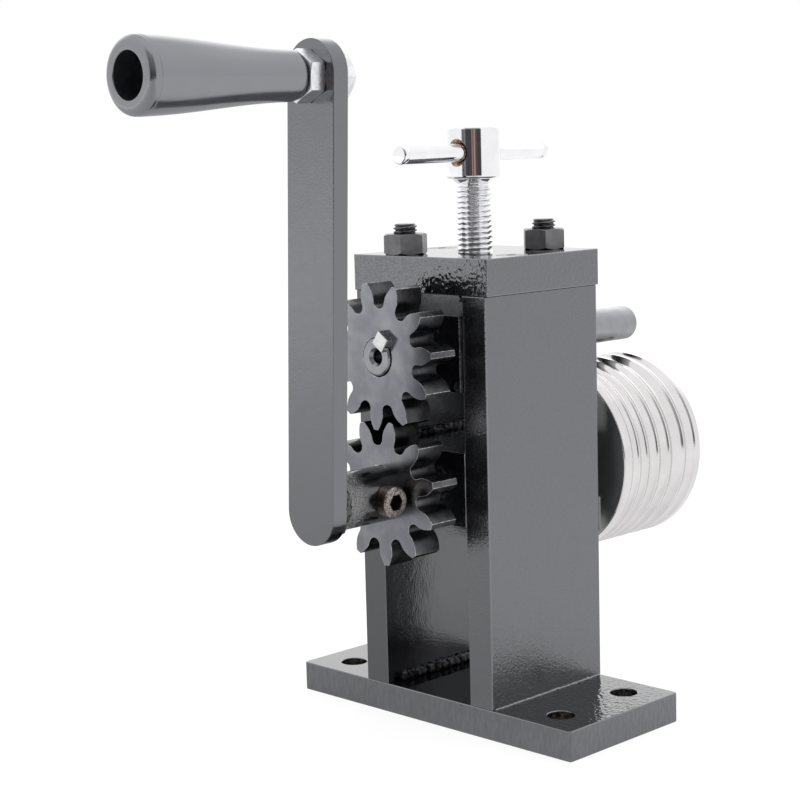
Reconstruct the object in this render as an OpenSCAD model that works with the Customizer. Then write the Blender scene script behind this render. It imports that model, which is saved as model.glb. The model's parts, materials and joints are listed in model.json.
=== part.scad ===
// Hand cranked ring bending machine: two geared shafts carried in blocks between two posts.
// The crank turns the lower shaft with the grooved roller, and the gears drive the upper forming shaft.
// The pressure screw and the two hanger studs set the height of the upper block.
// Millimetres. Origin at the centre of the underside of the base plate, Z up.
// X runs along the base, and Y runs from the crank side (negative) to the roller side (positive).

/* [Frame] */
// Length of the base plate
base_l = 123; // [110:1:180]
// Depth of the base plate and of the posts
base_d = 55; // [50:1:75]
// Thickness of the base plate
base_t = 10; // [6:1:16]
// Radius of the upright corners of the base plate
base_corner_r = 1; // [0.5:0.5:5]
// Diameter of the mounting holes
mount_hole_d = 9; // [5:0.5:10]
// Distance from a mounting hole to the end of the base
mount_edge_x = 13.5; // [8:0.5:16]
// Distance from a mounting hole to the long edge of the base
mount_edge_y = 11.5; // [8:0.5:16]
// Clear width between the two posts
bay_w = 38; // [36:1:46]
// Thickness of a post
post_t = 10; // [8:0.5:14]
// Height of a post above the base plate
post_h = 134; // [130:1:160]
// Thickness of the top plate
cap_t = 12; // [8:0.5:16]
// How far the top plate stands out beyond each post
cap_overhang = 1; // [0:0.5:4]

/* [Shafts and blocks] */
// Height of the lower shaft above the base plate
lower_axis_h = 71.3; // [68:0.1:76]
// Diameter of both shafts
shaft_d = 12; // [10:0.5:13]
// Height of a bearing block
block_h = 24.5; // [22:0.5:27]
// How far the upper block stands out in front of the posts
block_proud = 1.3; // [0:0.1:2]
// Wall of the bearing bushes
bush_wall = 2; // [1:0.25:2.5]
// Length of a bearing bush
bush_l = 20; // [12:1:24]
// Distance from the rear of the posts to the far end of the forming shaft
forming_reach = 52; // [40:0.5:70]

/* [Gears] */
// Number of teeth on each gear
gear_teeth = 11; // [10:1:12]
// Gear module, the pitch diameter divided by the number of teeth
gear_module = 3.65; // [3.5:0.05:3.75]
// Width of a gear
gear_w = 11; // [6:0.5:14]
// Distance between the posts and the rear face of the gears
gear_standoff = 8.3; // [5:0.1:14]
// How far the shafts stand apart beyond the closest mesh of the gears
mesh_opening = 3.85; // [3.6:0.05:4.4]
// Side of the square keys
key_side = 5; // [3:0.5:5]

/* [Grooved roller] */
// Diameter of the grooved roller
roller_d = 66; // [50:1:67]
// Width of the grooved roller
roller_w = 43; // [30:1:60]
// Distance between the posts and the roller
roller_standoff = 9.5; // [4:0.5:14]

/* [Crank] */
// Distance from the crankshaft to the handle bolt
crank_reach = 131.9; // [90:0.1:180]
// Width of the crank arm
arm_w = 20.6; // [18:0.1:26]
// Thickness of the crank arm
arm_t = 6; // [4:0.5:10]
// How far the lower round end of the arm is centred below the shaft
arm_tail = 1.7; // [0:0.1:6]
// How far the upper round end of the arm is centred beyond the handle bolt
arm_crown = 0.9; // [0:0.1:6]
// Lean of the crank from upright, towards positive X
crank_lean = 2.7; // [0:0.1:10]
// Diameter of the crank boss
boss_d = 18; // [17:0.5:20]
// Length of the crank boss
boss_l = 24.7; // [20:0.1:40]
// Length of the grip
grip_l = 61; // [50:0.5:100]
// Diameter of the grip at its open end
grip_big_d = 22.6; // [20:0.1:28]
// Diameter of the grip at the arm
grip_small_d = 15.2; // [14:0.1:20]
// Diameter of the hollow in the open end of the grip
grip_hollow_d = 13.6; // [13.6:0.1:15]

/* [Pressure screw] */
// Diameter of the pressure screw
screw_d = 12; // [10:1:14]
// Height of the screw head above the top plate
screw_stand_h = 24.2; // [12:0.1:32]
// Diameter of the screw head
screw_head_d = 18.1; // [17:0.1:24]
// Height of the screw head
screw_head_h = 17; // [12:0.5:22]
// Diameter of the tommy bar
bar_d = 6; // [4:0.1:7]
// Length of the tommy bar
bar_l = 77; // [60:1:120]
// Turn of the tommy bar from the Y axis
bar_turn = 5; // [0:1:60]
// Diameter of the hanger studs
stud_d = 8; // [6:0.5:9]
// Distance of a hanger stud from the middle, along X
stud_x = 12.9; // [12.8:0.1:14]
// Distance of a hanger stud from the front or rear face of the posts
stud_edge_y = 7.6; // [6.8:0.1:10]

/* [Hidden] */
$fn = 64;

// Clearances
overrun = 1;
press_fit = 0.02;
running_fit = 0.06;
slide_fit = 0.1;
face_gap = 0.25;
loose_fit = 0.5;

// Levels and faces of the frame
lower_axis_z = base_t + lower_axis_h;
axis_distance = gear_teeth * gear_module + mesh_opening;
upper_axis_z = lower_axis_z + axis_distance;
cap_z = base_t + post_h;
cap_top_z = cap_z + cap_t;
front_y = -base_d / 2;
rear_y = base_d / 2;
frame_w = bay_w + 2 * post_t;
shaft_r = shaft_d / 2;
bush_r = shaft_r + running_fit + bush_wall;
lower_block_top_z = lower_axis_z + block_h / 2;
upper_block_top_z = upper_axis_z + block_h / 2;

// Gear tooth form
pressure_angle = 20;
backlash_w = 0.25;
dedendum_share = 1.25;
flank_steps = 6;
gullet_steps = 8;
mesh_lean = 3.9;
pitch_r = gear_module * gear_teeth / 2;
base_circle_r = pitch_r * cos(pressure_angle);
tip_r = pitch_r + gear_module;
root_r = pitch_r - dedendum_share * gear_module;
gear_rear_y = front_y - gear_standoff;
gear_front_y = gear_rear_y - gear_w;
gear_chamfer = 0.5;
upper_tooth_angle = -90 - mesh_lean;
lower_tooth_angle = 90 + mesh_lean + 180 / gear_teeth;

// Keys
key_depth_share = 0.4;
key_inner_r = shaft_r - key_depth_share * key_side;
key_standout_l = 2.5;
upper_key_angle = 55;
lower_key_angle = 90;

// Spacers, ring and shaft ends
front_spacer_wall = 3;
rear_spacer_wall = 2.5;
shaft_standout_l = 0.8;
centre_hole_d = 4.3;
centre_hole_l = 9;
ring_groove_depth = 0.6;
ring_t = 1;
ring_wall = 2.6;
ring_mouth_angle = 50;
forming_end_r = 1.5;
forming_end_y = rear_y + forming_reach;

// Roller and its end fastening
roller_y = rear_y + roller_standoff;
roller_end_y = roller_y + roller_w;
groove_edge_shares = [[0.095, 0.18], [0.198, 0.29], [0.305, 0.43], [0.445, 0.578], [0.594, 0.77], [0.785, 0.93]];
groove_depth_share = 0.19;
roller_chamfer = 0.5;
roller_key_share = 0.75;
roller_key_l = roller_w * roller_key_share;
roller_key_y = roller_y + (roller_w + roller_key_l) / 2;
shaft_draw_in_l = 0.3;
washer_d = 18;
washer_t = 1.6;
end_screw_d = 6;
end_screw_l = 16;
end_screw_af = 10;
end_screw_head = 4;

// Crank, measured along the arm from the lower shaft
arm_rear_y = gear_front_y - boss_l;
arm_front_y = arm_rear_y - arm_t;
boss_floor = 1;
clamp_d = 6;
clamp_head_d = 10;
clamp_head_l = 6;
clamp_socket_af = 5;
clamp_socket_l = 3.5;
clamp_screw_turn = 30;
clamp_offset = 6.1;
clamp_seat_wall = 1;
clamp_seat_r = shaft_r + clamp_seat_wall;
clamp_tip_r = shaft_r / 2;
head_edge_share = 0.05;
boss_weld_leg = 2;
handle_bolt_d = 8;
handle_head_d = 13;
handle_head_l = 8;
handle_socket_af = 6;
handle_socket_l = 4;
handle_nut_af = 14;
handle_nut_h = 6;
handle_bolt_end = 2;
handle_back_nut_turn = 0;
grip_hollow_l = grip_l / 2;
grip_small_end_r = 2.2;
grip_big_end_r = 3.6;
grip_lip_r = 0.4;
grip_steps = 24;
round_steps = 6;
grip_end_y = arm_front_y - handle_nut_h - face_gap;
grip_open_y = grip_end_y - grip_l;
bolt_head_y = grip_open_y + grip_hollow_l - face_gap;

// Pressure screw, bar, studs and nuts
screw_seat_depth = 2;
screw_tip_d = 8;
screw_tip_l = 4;
screw_neck_l = 0.8;
screw_neck_t = 1;
screw_collar_h = 2;
screw_collar_step_t = 1.8;
screw_collar_d = screw_head_d - 2 * screw_collar_step_t;
screw_head_edge_r = 1;
screw_head_z = cap_top_z + screw_stand_h;
bar_z = screw_head_z + screw_head_h / 2;
bar_countersink_l = 1.55;
bar_swell_t = 0.1;
bar_end_l = 3.6;
bar_end_r = 0.8;
bar_relief_t = 0.15;
bar_relief_l = 0.5;
stud_y = base_d / 2 - stud_edge_y;
stud_depth = 14;
stud_top = 3.2;
stud_nut_h = 6.8;
stud_nut_wall = 2.5;
stud_nut_af = stud_d + 2 * stud_nut_wall;
left_nut_turn = 2;
right_nut_turn = 15;

// Top plate screws
cap_screw_d = 5;
cap_screw_head_d = 10;
cap_screw_head_l = 2.8;
cap_screw_l = 28;
cap_screw_y = 9;
cap_socket_af = 3;
cap_socket_l = 2;

// Welds and keeper
base_weld_leg = 3;
block_weld_leg = 2.5;
weld_inset = 3;
bead_fill_share = 0.62;
keeper_h = 12;
keeper_t = 1.2;
keeper_lap = 3;
keeper_z = lower_axis_z - block_h / 2 + keeper_lap - keeper_h;

// Colours
paint = [0.23, 0.24, 0.25];
blackened_steel = [0.36, 0.36, 0.38];
bright_steel = [0.78, 0.78, 0.80];
chrome = [0.88, 0.89, 0.91];
black_oxide = [0.17, 0.17, 0.18];
bronze = [0.66, 0.48, 0.26];
zinc = [0.80, 0.83, 0.86];
black_plastic = [0.12, 0.12, 0.13];

// Basic shapes

// A flat plate with rounded upright corners, standing on z = 0.
module rounded_plate(w, d, t, r) {
  linear_extrude(t) {
    square([w - 2 * r, d], center = true);
    square([w, d - 2 * r], center = true);
    for (sx = [-1, 1])
      for (sy = [-1, 1])
        translate([sx * (w / 2 - r), sy * (d / 2 - r)])
          circle(r);
  }
}

// Turned parts are drawn upright and laid along Y, so that their own +Z points to the crank side.
module along_axis(axis_z, y_rear) {
  translate([0, y_rear, axis_z])
    rotate([90, 0, 0])
      children();
}

// A tube, or a rod when the bore is zero.
module tube(d, bore, l) {
  difference() {
    cylinder(d = d, h = l);
    if (bore > 0)
      translate([0, 0, -overrun])
        cylinder(d = bore, h = l + 2 * overrun);
  }
}

// A hexagonal prism across flats af, with a vertex on +X and both ends chamfered.
module hex_body(af, h, chamfer_share = 0.07) {
  corner_r = af / 2 / cos(30);
  cut = corner_r * chamfer_share * 2;
  rise = cut * tan(30);
  intersection() {
    cylinder(r = corner_r, h = h, $fn = 6);
    rotate_extrude()
      polygon([[0, 0], [corner_r - cut, 0], [corner_r, rise], [corner_r, h - rise], [corner_r - cut, h], [0, h]]);
  }
}

module hex_nut(af, h, bore) {
  difference() {
    hex_body(af, h);
    translate([0, 0, -overrun])
      cylinder(d = bore, h = h + 2 * overrun);
  }
}

// A hexagonal socket cut downwards from z = 0.
module socket_cut(af, l) {
  translate([0, 0, -l])
    cylinder(d = af / cos(30), h = l + overrun, $fn = 6);
}

// A cap screw: the shank points to -Z from the seat at z = 0 and the head stands above it.
module cap_screw(d, l, head_d, head_l, socket_af, socket_l) {
  edge = head_d * head_edge_share;
  difference() {
    union() {
      translate([0, 0, -l])
        cylinder(d = d, h = l);
      cylinder(d = head_d, h = head_l - edge);
      translate([0, 0, head_l - edge])
        cylinder(d1 = head_d, d2 = head_d - 2 * edge, h = edge);
    }
    translate([0, 0, head_l])
      socket_cut(socket_af, socket_l);
  }
}

// A straight bar with a triangular section, standing in the corner of two faces, along Y.
module fillet_bead(leg, l) {
  translate([0, l / 2, 0])
    rotate([90, 0, 0])
      linear_extrude(l)
        polygon([[0, 0], [leg, 0], [leg * bead_fill_share, leg * bead_fill_share], [0, leg]]);
}

// A key bar seen from the crank side, square in section, laid at an angle round the shaft.
module key_bar(angle, l, fit = 0) {
  rotate([0, 0, angle])
    translate([key_inner_r - fit, -key_side / 2 - fit, 0])
      cube([key_side + 2 * fit, key_side + 2 * fit, l]);
}

// Frame

module mount_places() {
  for (sx = [-1, 1])
    for (sy = [-1, 1])
      translate([sx * (base_l / 2 - mount_edge_x), sy * (base_d / 2 - mount_edge_y), 0])
        children();
}

module base_plate() {
  color(paint)
    difference() {
      rounded_plate(base_l, base_d, base_t, base_corner_r);
      mount_places()
        translate([0, 0, -overrun])
          cylinder(d = mount_hole_d, h = base_t + 2 * overrun);
    }
}

module cap_screw_places() {
  for (sx = [-1, 1])
    for (sy = [-1, 1])
      translate([sx * (bay_w + post_t) / 2, sy * cap_screw_y, cap_top_z])
        children();
}

module post(side) {
  color(paint)
    difference() {
      translate([side * (bay_w + post_t) / 2 - post_t / 2, front_y, base_t])
        cube([post_t, base_d, post_h]);
      cap_screw_places()
        translate([0, 0, -cap_screw_l - overrun])
          cylinder(d = cap_screw_d + 2 * press_fit, h = cap_screw_l + overrun);
    }
}

module left_post() { post(-1); }

module right_post() { post(1); }

module countersink_cut(fit) {
  translate([0, 0, -cap_screw_head_l])
    cylinder(d1 = cap_screw_d + 2 * fit, d2 = cap_screw_head_d + 2 * fit, h = cap_screw_head_l);
}

module stud_places() {
  translate([-stud_x, -stud_y, 0])
    children();
  translate([stud_x, stud_y, 0])
    children();
}

module top_plate() {
  color(paint)
    difference() {
      translate([-frame_w / 2 - cap_overhang, front_y, cap_z])
        cube([frame_w + 2 * cap_overhang, base_d, cap_t]);
      translate([0, 0, cap_z - overrun])
        cylinder(d = screw_d + 2 * running_fit, h = cap_t + 2 * overrun);
      stud_places()
        translate([0, 0, cap_z - overrun])
          cylinder(d = stud_d + 2 * loose_fit, h = cap_t + 2 * overrun);
      cap_screw_places() {
        countersink_cut(press_fit);
        translate([0, 0, -cap_t - overrun])
          cylinder(d = cap_screw_d + 2 * press_fit, h = cap_t + overrun);
      }
    }
}

module top_plate_screws() {
  color(black_oxide)
    cap_screw_places()
      difference() {
        union() {
          countersink_cut(0);
          translate([0, 0, -cap_screw_l])
            cylinder(d = cap_screw_d, h = cap_screw_l - cap_screw_head_l);
        }
        socket_cut(cap_socket_af, cap_socket_l);
      }
}

// Bearing blocks, each bored for a bush at both ends and for the shaft between them

module block_bore(axis_z, y_front, y_rear) {
  along_axis(axis_z, y_rear + overrun)
    cylinder(d = shaft_d + 2 * loose_fit, h = y_rear - y_front + 2 * overrun);
  along_axis(axis_z, y_rear + overrun)
    cylinder(r = bush_r + press_fit, h = bush_l + overrun);
  along_axis(axis_z, y_front + bush_l)
    cylinder(r = bush_r + press_fit, h = bush_l + overrun);
}

module bush(axis_z, y_rear) {
  color(bronze)
    along_axis(axis_z, y_rear)
      tube(2 * bush_r, shaft_d + 2 * running_fit, bush_l);
}

module lower_bearing_block() {
  color(paint)
    difference() {
      translate([-bay_w / 2, front_y, lower_axis_z - block_h / 2])
        cube([bay_w, base_d, block_h]);
      block_bore(lower_axis_z, front_y, rear_y);
    }
}

module lower_front_bush() { bush(lower_axis_z, front_y + bush_l); }

module lower_rear_bush() { bush(lower_axis_z, rear_y); }

module upper_bearing_block() {
  width = bay_w - 2 * slide_fit;
  color(paint)
    difference() {
      translate([-width / 2, front_y - block_proud, upper_axis_z - block_h / 2])
        cube([width, base_d + block_proud, block_h]);
      block_bore(upper_axis_z, front_y - block_proud, rear_y);
      stud_places()
        translate([0, 0, upper_block_top_z - stud_depth])
          cylinder(d = stud_d + 2 * press_fit, h = stud_depth + overrun);
      translate([0, 0, upper_block_top_z - screw_seat_depth])
        cylinder(d = screw_tip_d + 2 * loose_fit, h = screw_seat_depth + overrun);
    }
}

module upper_front_bush() { bush(upper_axis_z, front_y - block_proud + bush_l); }

module upper_rear_bush() { bush(upper_axis_z, rear_y); }

// Weld beads inside the feet of the posts and along the top of the fixed block

module weld_pair(leg, z, l) {
  color(paint)
    for (side = [0, 1])
      mirror([side, 0, 0])
        translate([-bay_w / 2, 0, z])
          fillet_bead(leg, l);
}

module base_welds() { weld_pair(base_weld_leg, base_t, base_d - 2 * weld_inset); }

module block_welds() { weld_pair(block_weld_leg, lower_block_top_z, base_d - 4 * weld_inset); }

module rear_keeper_strip() {
  color(paint)
    translate([-frame_w / 2, rear_y, keeper_z])
      cube([frame_w, keeper_t, keeper_h]);
}

// Gears: involute flanks above the base circle and a full round gullet below it

function involute_turn(r) =
  r <= base_circle_r ? 0 : tan(acos(base_circle_r / r)) * 180 / PI - acos(base_circle_r / r);

function half_tooth_angle(r) =
  90 / gear_teeth - backlash_w / (2 * pitch_r) * 180 / PI + involute_turn(pitch_r) - involute_turn(r);

function polar(r, a) = [r * cos(a), r * sin(a)];

function flank_r(i) = base_circle_r + (tip_r - base_circle_r) * i / flank_steps;

gullet_half_angle = 180 / gear_teeth - half_tooth_angle(base_circle_r);
gullet_r = root_r * sin(gullet_half_angle) / (1 - sin(gullet_half_angle));
gullet_centre_r = root_r + gullet_r;
gullet_sweep = 90 - gullet_half_angle;

function gullet_point(i, angle) =
  let (t = gullet_sweep * (1 - 2 * i / gullet_steps))
  let (x = gullet_centre_r - gullet_r * cos(t), y = -gullet_r * sin(t))
  [x * cos(angle) - y * sin(angle), x * sin(angle) + y * cos(angle)];

function tooth_points(angle) = concat(
  [for (i = [0:flank_steps]) polar(flank_r(i), angle - half_tooth_angle(flank_r(i)))],
  [for (i = [flank_steps:-1:0]) polar(flank_r(i), angle + half_tooth_angle(flank_r(i)))],
  [for (i = [1:gullet_steps - 1]) gullet_point(i, angle + 180 / gear_teeth)]
);

module spur_gear(tooth_angle, key_angle) {
  outline = [for (k = [0:gear_teeth - 1]) each tooth_points(tooth_angle + k * 360 / gear_teeth)];
  difference() {
    linear_extrude(gear_w)
      polygon(outline);
    translate([0, 0, -overrun])
      cylinder(d = shaft_d + 2 * press_fit, h = gear_w + 2 * overrun);
    translate([0, 0, -overrun])
      key_bar(key_angle, gear_w + 2 * overrun, press_fit);
    translate([0, 0, gear_w - gear_chamfer])
      cylinder(d1 = shaft_d, d2 = shaft_d + 4 * gear_chamfer, h = 2 * gear_chamfer);
  }
}

module upper_gear() {
  color(blackened_steel)
    along_axis(upper_axis_z, gear_rear_y)
      spur_gear(upper_tooth_angle, upper_key_angle);
}

module lower_gear() {
  color(blackened_steel)
    along_axis(lower_axis_z, gear_rear_y)
      spur_gear(lower_tooth_angle, lower_key_angle);
}

module upper_gear_key() {
  color(bright_steel)
    along_axis(upper_axis_z, gear_rear_y)
      key_bar(upper_key_angle, gear_w + key_standout_l);
}

module lower_gear_key() {
  color(bright_steel)
    along_axis(lower_axis_z, gear_rear_y)
      key_bar(lower_key_angle, gear_w - press_fit);
}

module spacer(axis_z, y_rear, l, wall) {
  color(blackened_steel)
    along_axis(axis_z, y_rear)
      tube(shaft_d + 2 * wall, shaft_d + 2 * press_fit, l);
}

module upper_spacer() {
  y_rear = front_y - block_proud - face_gap;
  spacer(upper_axis_z, y_rear, y_rear - gear_rear_y, front_spacer_wall);
}

module lower_front_spacer() {
  spacer(lower_axis_z, front_y - face_gap, gear_standoff - face_gap, front_spacer_wall);
}

module lower_rear_spacer() {
  spacer(lower_axis_z, roller_y, roller_standoff - face_gap, rear_spacer_wall);
}

// Shafts

module upper_shaft() {
  shaft_l = forming_end_y - gear_front_y + shaft_standout_l;
  key_cut_l = gear_w + shaft_standout_l;
  ring_y = rear_y + face_gap + ring_t;
  color(blackened_steel)
    difference() {
      along_axis(upper_axis_z, forming_end_y) {
        translate([0, 0, forming_end_r])
          cylinder(d = shaft_d, h = shaft_l - forming_end_r);
        rotate_extrude()
          intersection() {
            union() {
              square([shaft_r - forming_end_r, forming_end_r]);
              translate([shaft_r - forming_end_r, forming_end_r])
                circle(forming_end_r);
            }
            square([shaft_r, forming_end_r]);
          }
      }
      along_axis(upper_axis_z, gear_rear_y)
        key_bar(upper_key_angle, key_cut_l + overrun, press_fit);
      along_axis(upper_axis_z, gear_front_y - shaft_standout_l + centre_hole_l)
        cylinder(d = centre_hole_d, h = centre_hole_l + overrun);
      along_axis(upper_axis_z, ring_y + press_fit)
        tube(shaft_d + 2 * overrun, shaft_d - 2 * ring_groove_depth, ring_t + 2 * press_fit);
    }
}

module upper_retaining_ring() {
  inner_r = shaft_r - ring_groove_depth + press_fit;
  outer_r = inner_r + ring_wall;
  mouth = [for (a = [-ring_mouth_angle, ring_mouth_angle]) polar(2 * outer_r, a - 90)];
  color(bright_steel)
    along_axis(upper_axis_z, rear_y + face_gap + ring_t)
      difference() {
        tube(2 * outer_r, 2 * inner_r, ring_t);
        translate([0, 0, -overrun])
          linear_extrude(ring_t + 2 * overrun)
            polygon([[0, 0], mouth[0], mouth[1]]);
      }
}

module roller_key_place() {
  along_axis(lower_axis_z, roller_key_y)
    children();
}

module lower_shaft() {
  y_rear = roller_end_y - shaft_draw_in_l;
  y_front = arm_rear_y + boss_floor;
  color(blackened_steel)
    difference() {
      along_axis(lower_axis_z, y_rear)
        cylinder(d = shaft_d, h = y_rear - y_front);
      along_axis(lower_axis_z, gear_rear_y)
        key_bar(lower_key_angle, gear_w, press_fit);
      roller_key_place()
        key_bar(lower_key_angle, roller_key_l, press_fit);
      along_axis(lower_axis_z, y_rear + overrun)
        cylinder(d = end_screw_d + 2 * press_fit, h = end_screw_l + overrun);
      clamp_place()
        translate([0, 0, -clamp_seat_r + clamp_tip_r - press_fit])
          cylinder(d = clamp_d + 2 * press_fit, h = shaft_d);
    }
}

// Grooved roller: six arc grooves of growing width, with narrow lands between them

module groove_cut(from_share, to_share) {
  width = (to_share - from_share) * roller_w;
  depth = groove_depth_share * width;
  arc_r = (width * width / 4 + depth * depth) / (2 * depth);
  middle = (from_share + to_share) / 2 * roller_w;
  translate([0, 0, roller_w - middle])
    rotate_extrude($fn = 128)
      translate([roller_d / 2 + arc_r - depth, 0])
        circle(arc_r, $fn = 96);
}

module grooved_roller() {
  edge_r = roller_d / 2;
  color(chrome)
    difference() {
      along_axis(lower_axis_z, roller_end_y)
        difference() {
          rotate_extrude($fn = 128)
            polygon([
              [0, 0], [edge_r - roller_chamfer, 0], [edge_r, roller_chamfer],
              [edge_r, roller_w - roller_chamfer], [edge_r - roller_chamfer, roller_w], [0, roller_w]
            ]);
          for (edges = groove_edge_shares)
            groove_cut(edges[0], edges[1]);
          translate([0, 0, -overrun])
            cylinder(d = shaft_d + 2 * press_fit, h = roller_w + 2 * overrun);
        }
      roller_key_place()
        key_bar(lower_key_angle, roller_key_l, press_fit);
    }
}

module roller_key() {
  color(bright_steel)
    roller_key_place()
      translate([0, 0, press_fit])
        key_bar(lower_key_angle, roller_key_l - 2 * press_fit);
}

module roller_end_washer() {
  color(zinc)
    along_axis(lower_axis_z, roller_end_y + washer_t)
      tube(washer_d, end_screw_d + 2 * slide_fit, washer_t);
}

module roller_end_screw() {
  color(zinc)
    along_axis(lower_axis_z, roller_end_y + washer_t + end_screw_head) {
      hex_body(end_screw_af, end_screw_head);
      cylinder(d = end_screw_d, h = end_screw_head + washer_t + end_screw_l);
    }
}

// Crank: the arm leans about the lower shaft, and everything fixed to it leans with it

module crank_frame() {
  translate([0, 0, lower_axis_z])
    rotate([0, crank_lean, 0])
      children();
}

module handle_axis(y_rear) {
  crank_frame()
    along_axis(crank_reach, y_rear)
      children();
}

// The clamp screw lies along the crank's X axis, with its seat at z = 0.
module clamp_place() {
  crank_frame()
    translate([clamp_seat_r, gear_front_y - clamp_offset, 0])
      rotate([0, 90, 0])
        children();
}

module crank_arm() {
  color(paint)
    difference() {
      crank_frame() {
        along_axis(-arm_tail, arm_rear_y)
          cylinder(d = arm_w, h = arm_t);
        along_axis(crank_reach + arm_crown, arm_rear_y)
          cylinder(d = arm_w, h = arm_t);
        translate([-arm_w / 2, arm_front_y, -arm_tail])
          cube([arm_w, arm_t, crank_reach + arm_crown + arm_tail]);
      }
      handle_axis(arm_rear_y + overrun)
        cylinder(d = handle_bolt_d + 2 * press_fit, h = arm_t + 2 * overrun);
    }
}

module crank_boss() {
  color(paint)
    difference() {
      along_axis(lower_axis_z, gear_front_y)
        difference() {
          cylinder(d = boss_d, h = boss_l);
          translate([0, 0, -overrun])
            cylinder(d = shaft_d + 2 * press_fit, h = boss_l - boss_floor + overrun + press_fit);
        }
      clamp_place() {
        cylinder(d = clamp_head_d + 2 * slide_fit, h = boss_d);
        translate([0, 0, -clamp_seat_r])
          cylinder(d = clamp_d + 2 * press_fit, h = clamp_seat_r + overrun);
      }
    }
}

module boss_weld() {
  color(paint)
    crank_frame()
      intersection() {
        translate([0, arm_rear_y + boss_weld_leg, 0])
          rotate([90, 0, 0])
            rotate_extrude()
              translate([boss_d / 2 + press_fit, 0])
                polygon([[0, 0], [boss_weld_leg, boss_weld_leg], [0, boss_weld_leg]]);
        translate([-arm_w / 2, arm_rear_y, -arm_w / 2 - arm_tail])
          cube([arm_w, boss_weld_leg, arm_w + boss_d]);
      }
}

module clamp_screw() {
  color(black_oxide)
    clamp_place()
      rotate([0, 0, clamp_screw_turn])
        cap_screw(clamp_d, clamp_seat_r - clamp_tip_r, clamp_head_d, clamp_head_l, clamp_socket_af, clamp_socket_l);
}

module handle_bolt() {
  shank_l = arm_rear_y + handle_nut_h + handle_bolt_end - bolt_head_y;
  color(zinc)
    handle_axis(bolt_head_y)
      cap_screw(handle_bolt_d, shank_l, handle_head_d, handle_head_l, handle_socket_af, handle_socket_l);
}

module handle_nuts() {
  color(zinc) {
    handle_axis(arm_front_y)
      rotate([0, 0, 90])
        hex_nut(handle_nut_af, handle_nut_h, handle_bolt_d + 2 * press_fit);
    handle_axis(arm_rear_y + handle_nut_h)
      rotate([0, 0, handle_back_nut_turn])
        hex_nut(handle_nut_af, handle_nut_h, handle_bolt_d + 2 * press_fit);
  }
}

// Grip: a turned taper with an eased profile, rounded ends and a hollow open end

function grip_r(z) = grip_small_d / 2 + (grip_big_d - grip_small_d) / 2 * (1 - cos(180 * z / grip_l)) / 2;

function quarter(centre, r, from_angle) =
  [for (i = [0:round_steps]) centre + polar(r, from_angle + 90 * i / round_steps)];

grip_body_from = grip_small_end_r;
grip_body_to = grip_l - grip_big_end_r;

function grip_outline() = concat(
  [[handle_bolt_d / 2 + running_fit, 0]],
  quarter([grip_r(grip_body_from) - grip_small_end_r, grip_small_end_r], grip_small_end_r, -90),
  [for (i = [1:grip_steps - 1])
    let (z = grip_body_from + (grip_body_to - grip_body_from) * i / grip_steps)
    [grip_r(z), z]],
  quarter([grip_r(grip_body_to) - grip_big_end_r, grip_body_to], grip_big_end_r, 0),
  [for (i = [round_steps:-1:0])
    [grip_hollow_d / 2 + grip_lip_r, grip_l - grip_lip_r]
      + polar(grip_lip_r, 90 + 90 * (1 - i / round_steps))],
  [[grip_hollow_d / 2, grip_l - grip_hollow_l], [handle_bolt_d / 2 + running_fit, grip_l - grip_hollow_l]]
);

module handle_grip() {
  color(black_plastic)
    handle_axis(grip_end_y)
      rotate_extrude($fn = 96)
        polygon(grip_outline());
}

// Pressure screw with its drilled head and the loose tommy bar

module bar_axis() {
  translate([0, 0, bar_z])
    rotate([0, 0, bar_turn])
      rotate([90, 0, 0])
        children();
}

module pressure_screw() {
  tip_z = upper_block_top_z - screw_seat_depth + face_gap;
  thread_top_z = screw_head_z - screw_collar_h - screw_neck_l;
  neck_d = screw_d - 2 * screw_neck_t;
  head_edge_r = screw_head_d / 2 - screw_head_edge_r;
  color(chrome)
    difference() {
      union() {
        translate([0, 0, tip_z])
          cylinder(d = screw_tip_d, h = screw_tip_l);
        translate([0, 0, tip_z + screw_tip_l])
          cylinder(d = screw_d, h = thread_top_z - tip_z - screw_tip_l);
        translate([0, 0, thread_top_z])
          cylinder(d = neck_d, h = screw_neck_l);
        translate([0, 0, screw_head_z - screw_collar_h])
          cylinder(d1 = neck_d, d2 = screw_collar_d, h = screw_collar_h);
        translate([0, 0, screw_head_z])
          rotate_extrude()
            for (z = [screw_head_edge_r, screw_head_h - screw_head_edge_r]) {
              translate([head_edge_r, z])
                circle(screw_head_edge_r);
              translate([0, z - screw_head_edge_r])
                square([head_edge_r, 2 * screw_head_edge_r]);
              translate([0, screw_head_edge_r])
                square([screw_head_d / 2, screw_head_h - 2 * screw_head_edge_r]);
            }
      }
      bar_axis()
        translate([0, 0, -screw_head_d])
          cylinder(d = bar_d + 2 * slide_fit, h = 2 * screw_head_d);
      for (side = [0, 1])
        bar_axis()
          mirror([0, 0, side])
            translate([0, 0, screw_head_d / 2 - bar_countersink_l])
              cylinder(d1 = bar_d, d2 = bar_d + 4 * bar_countersink_l, h = 2 * bar_countersink_l);
    }
}

module tommy_bar() {
  bar_r = bar_d / 2;
  end_r = bar_r + bar_swell_t;
  edge_r = end_r - bar_end_r;
  color(chrome)
    bar_axis() {
      translate([0, 0, -bar_l / 2 + bar_end_l + bar_relief_l])
        cylinder(r = bar_r, h = bar_l - 2 * bar_end_l - 2 * bar_relief_l);
      for (side = [0, 1])
        mirror([0, 0, side]) {
          translate([0, 0, bar_l / 2 - bar_end_l - bar_relief_l])
            cylinder(r = bar_r - bar_relief_t, h = bar_relief_l);
          translate([0, 0, bar_l / 2 - bar_end_l])
            cylinder(r = end_r, h = bar_end_l - bar_end_r);
          translate([0, 0, bar_l / 2 - bar_end_r])
            cylinder(r1 = end_r, r2 = edge_r, h = bar_end_r);
        }
    }
}

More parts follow.
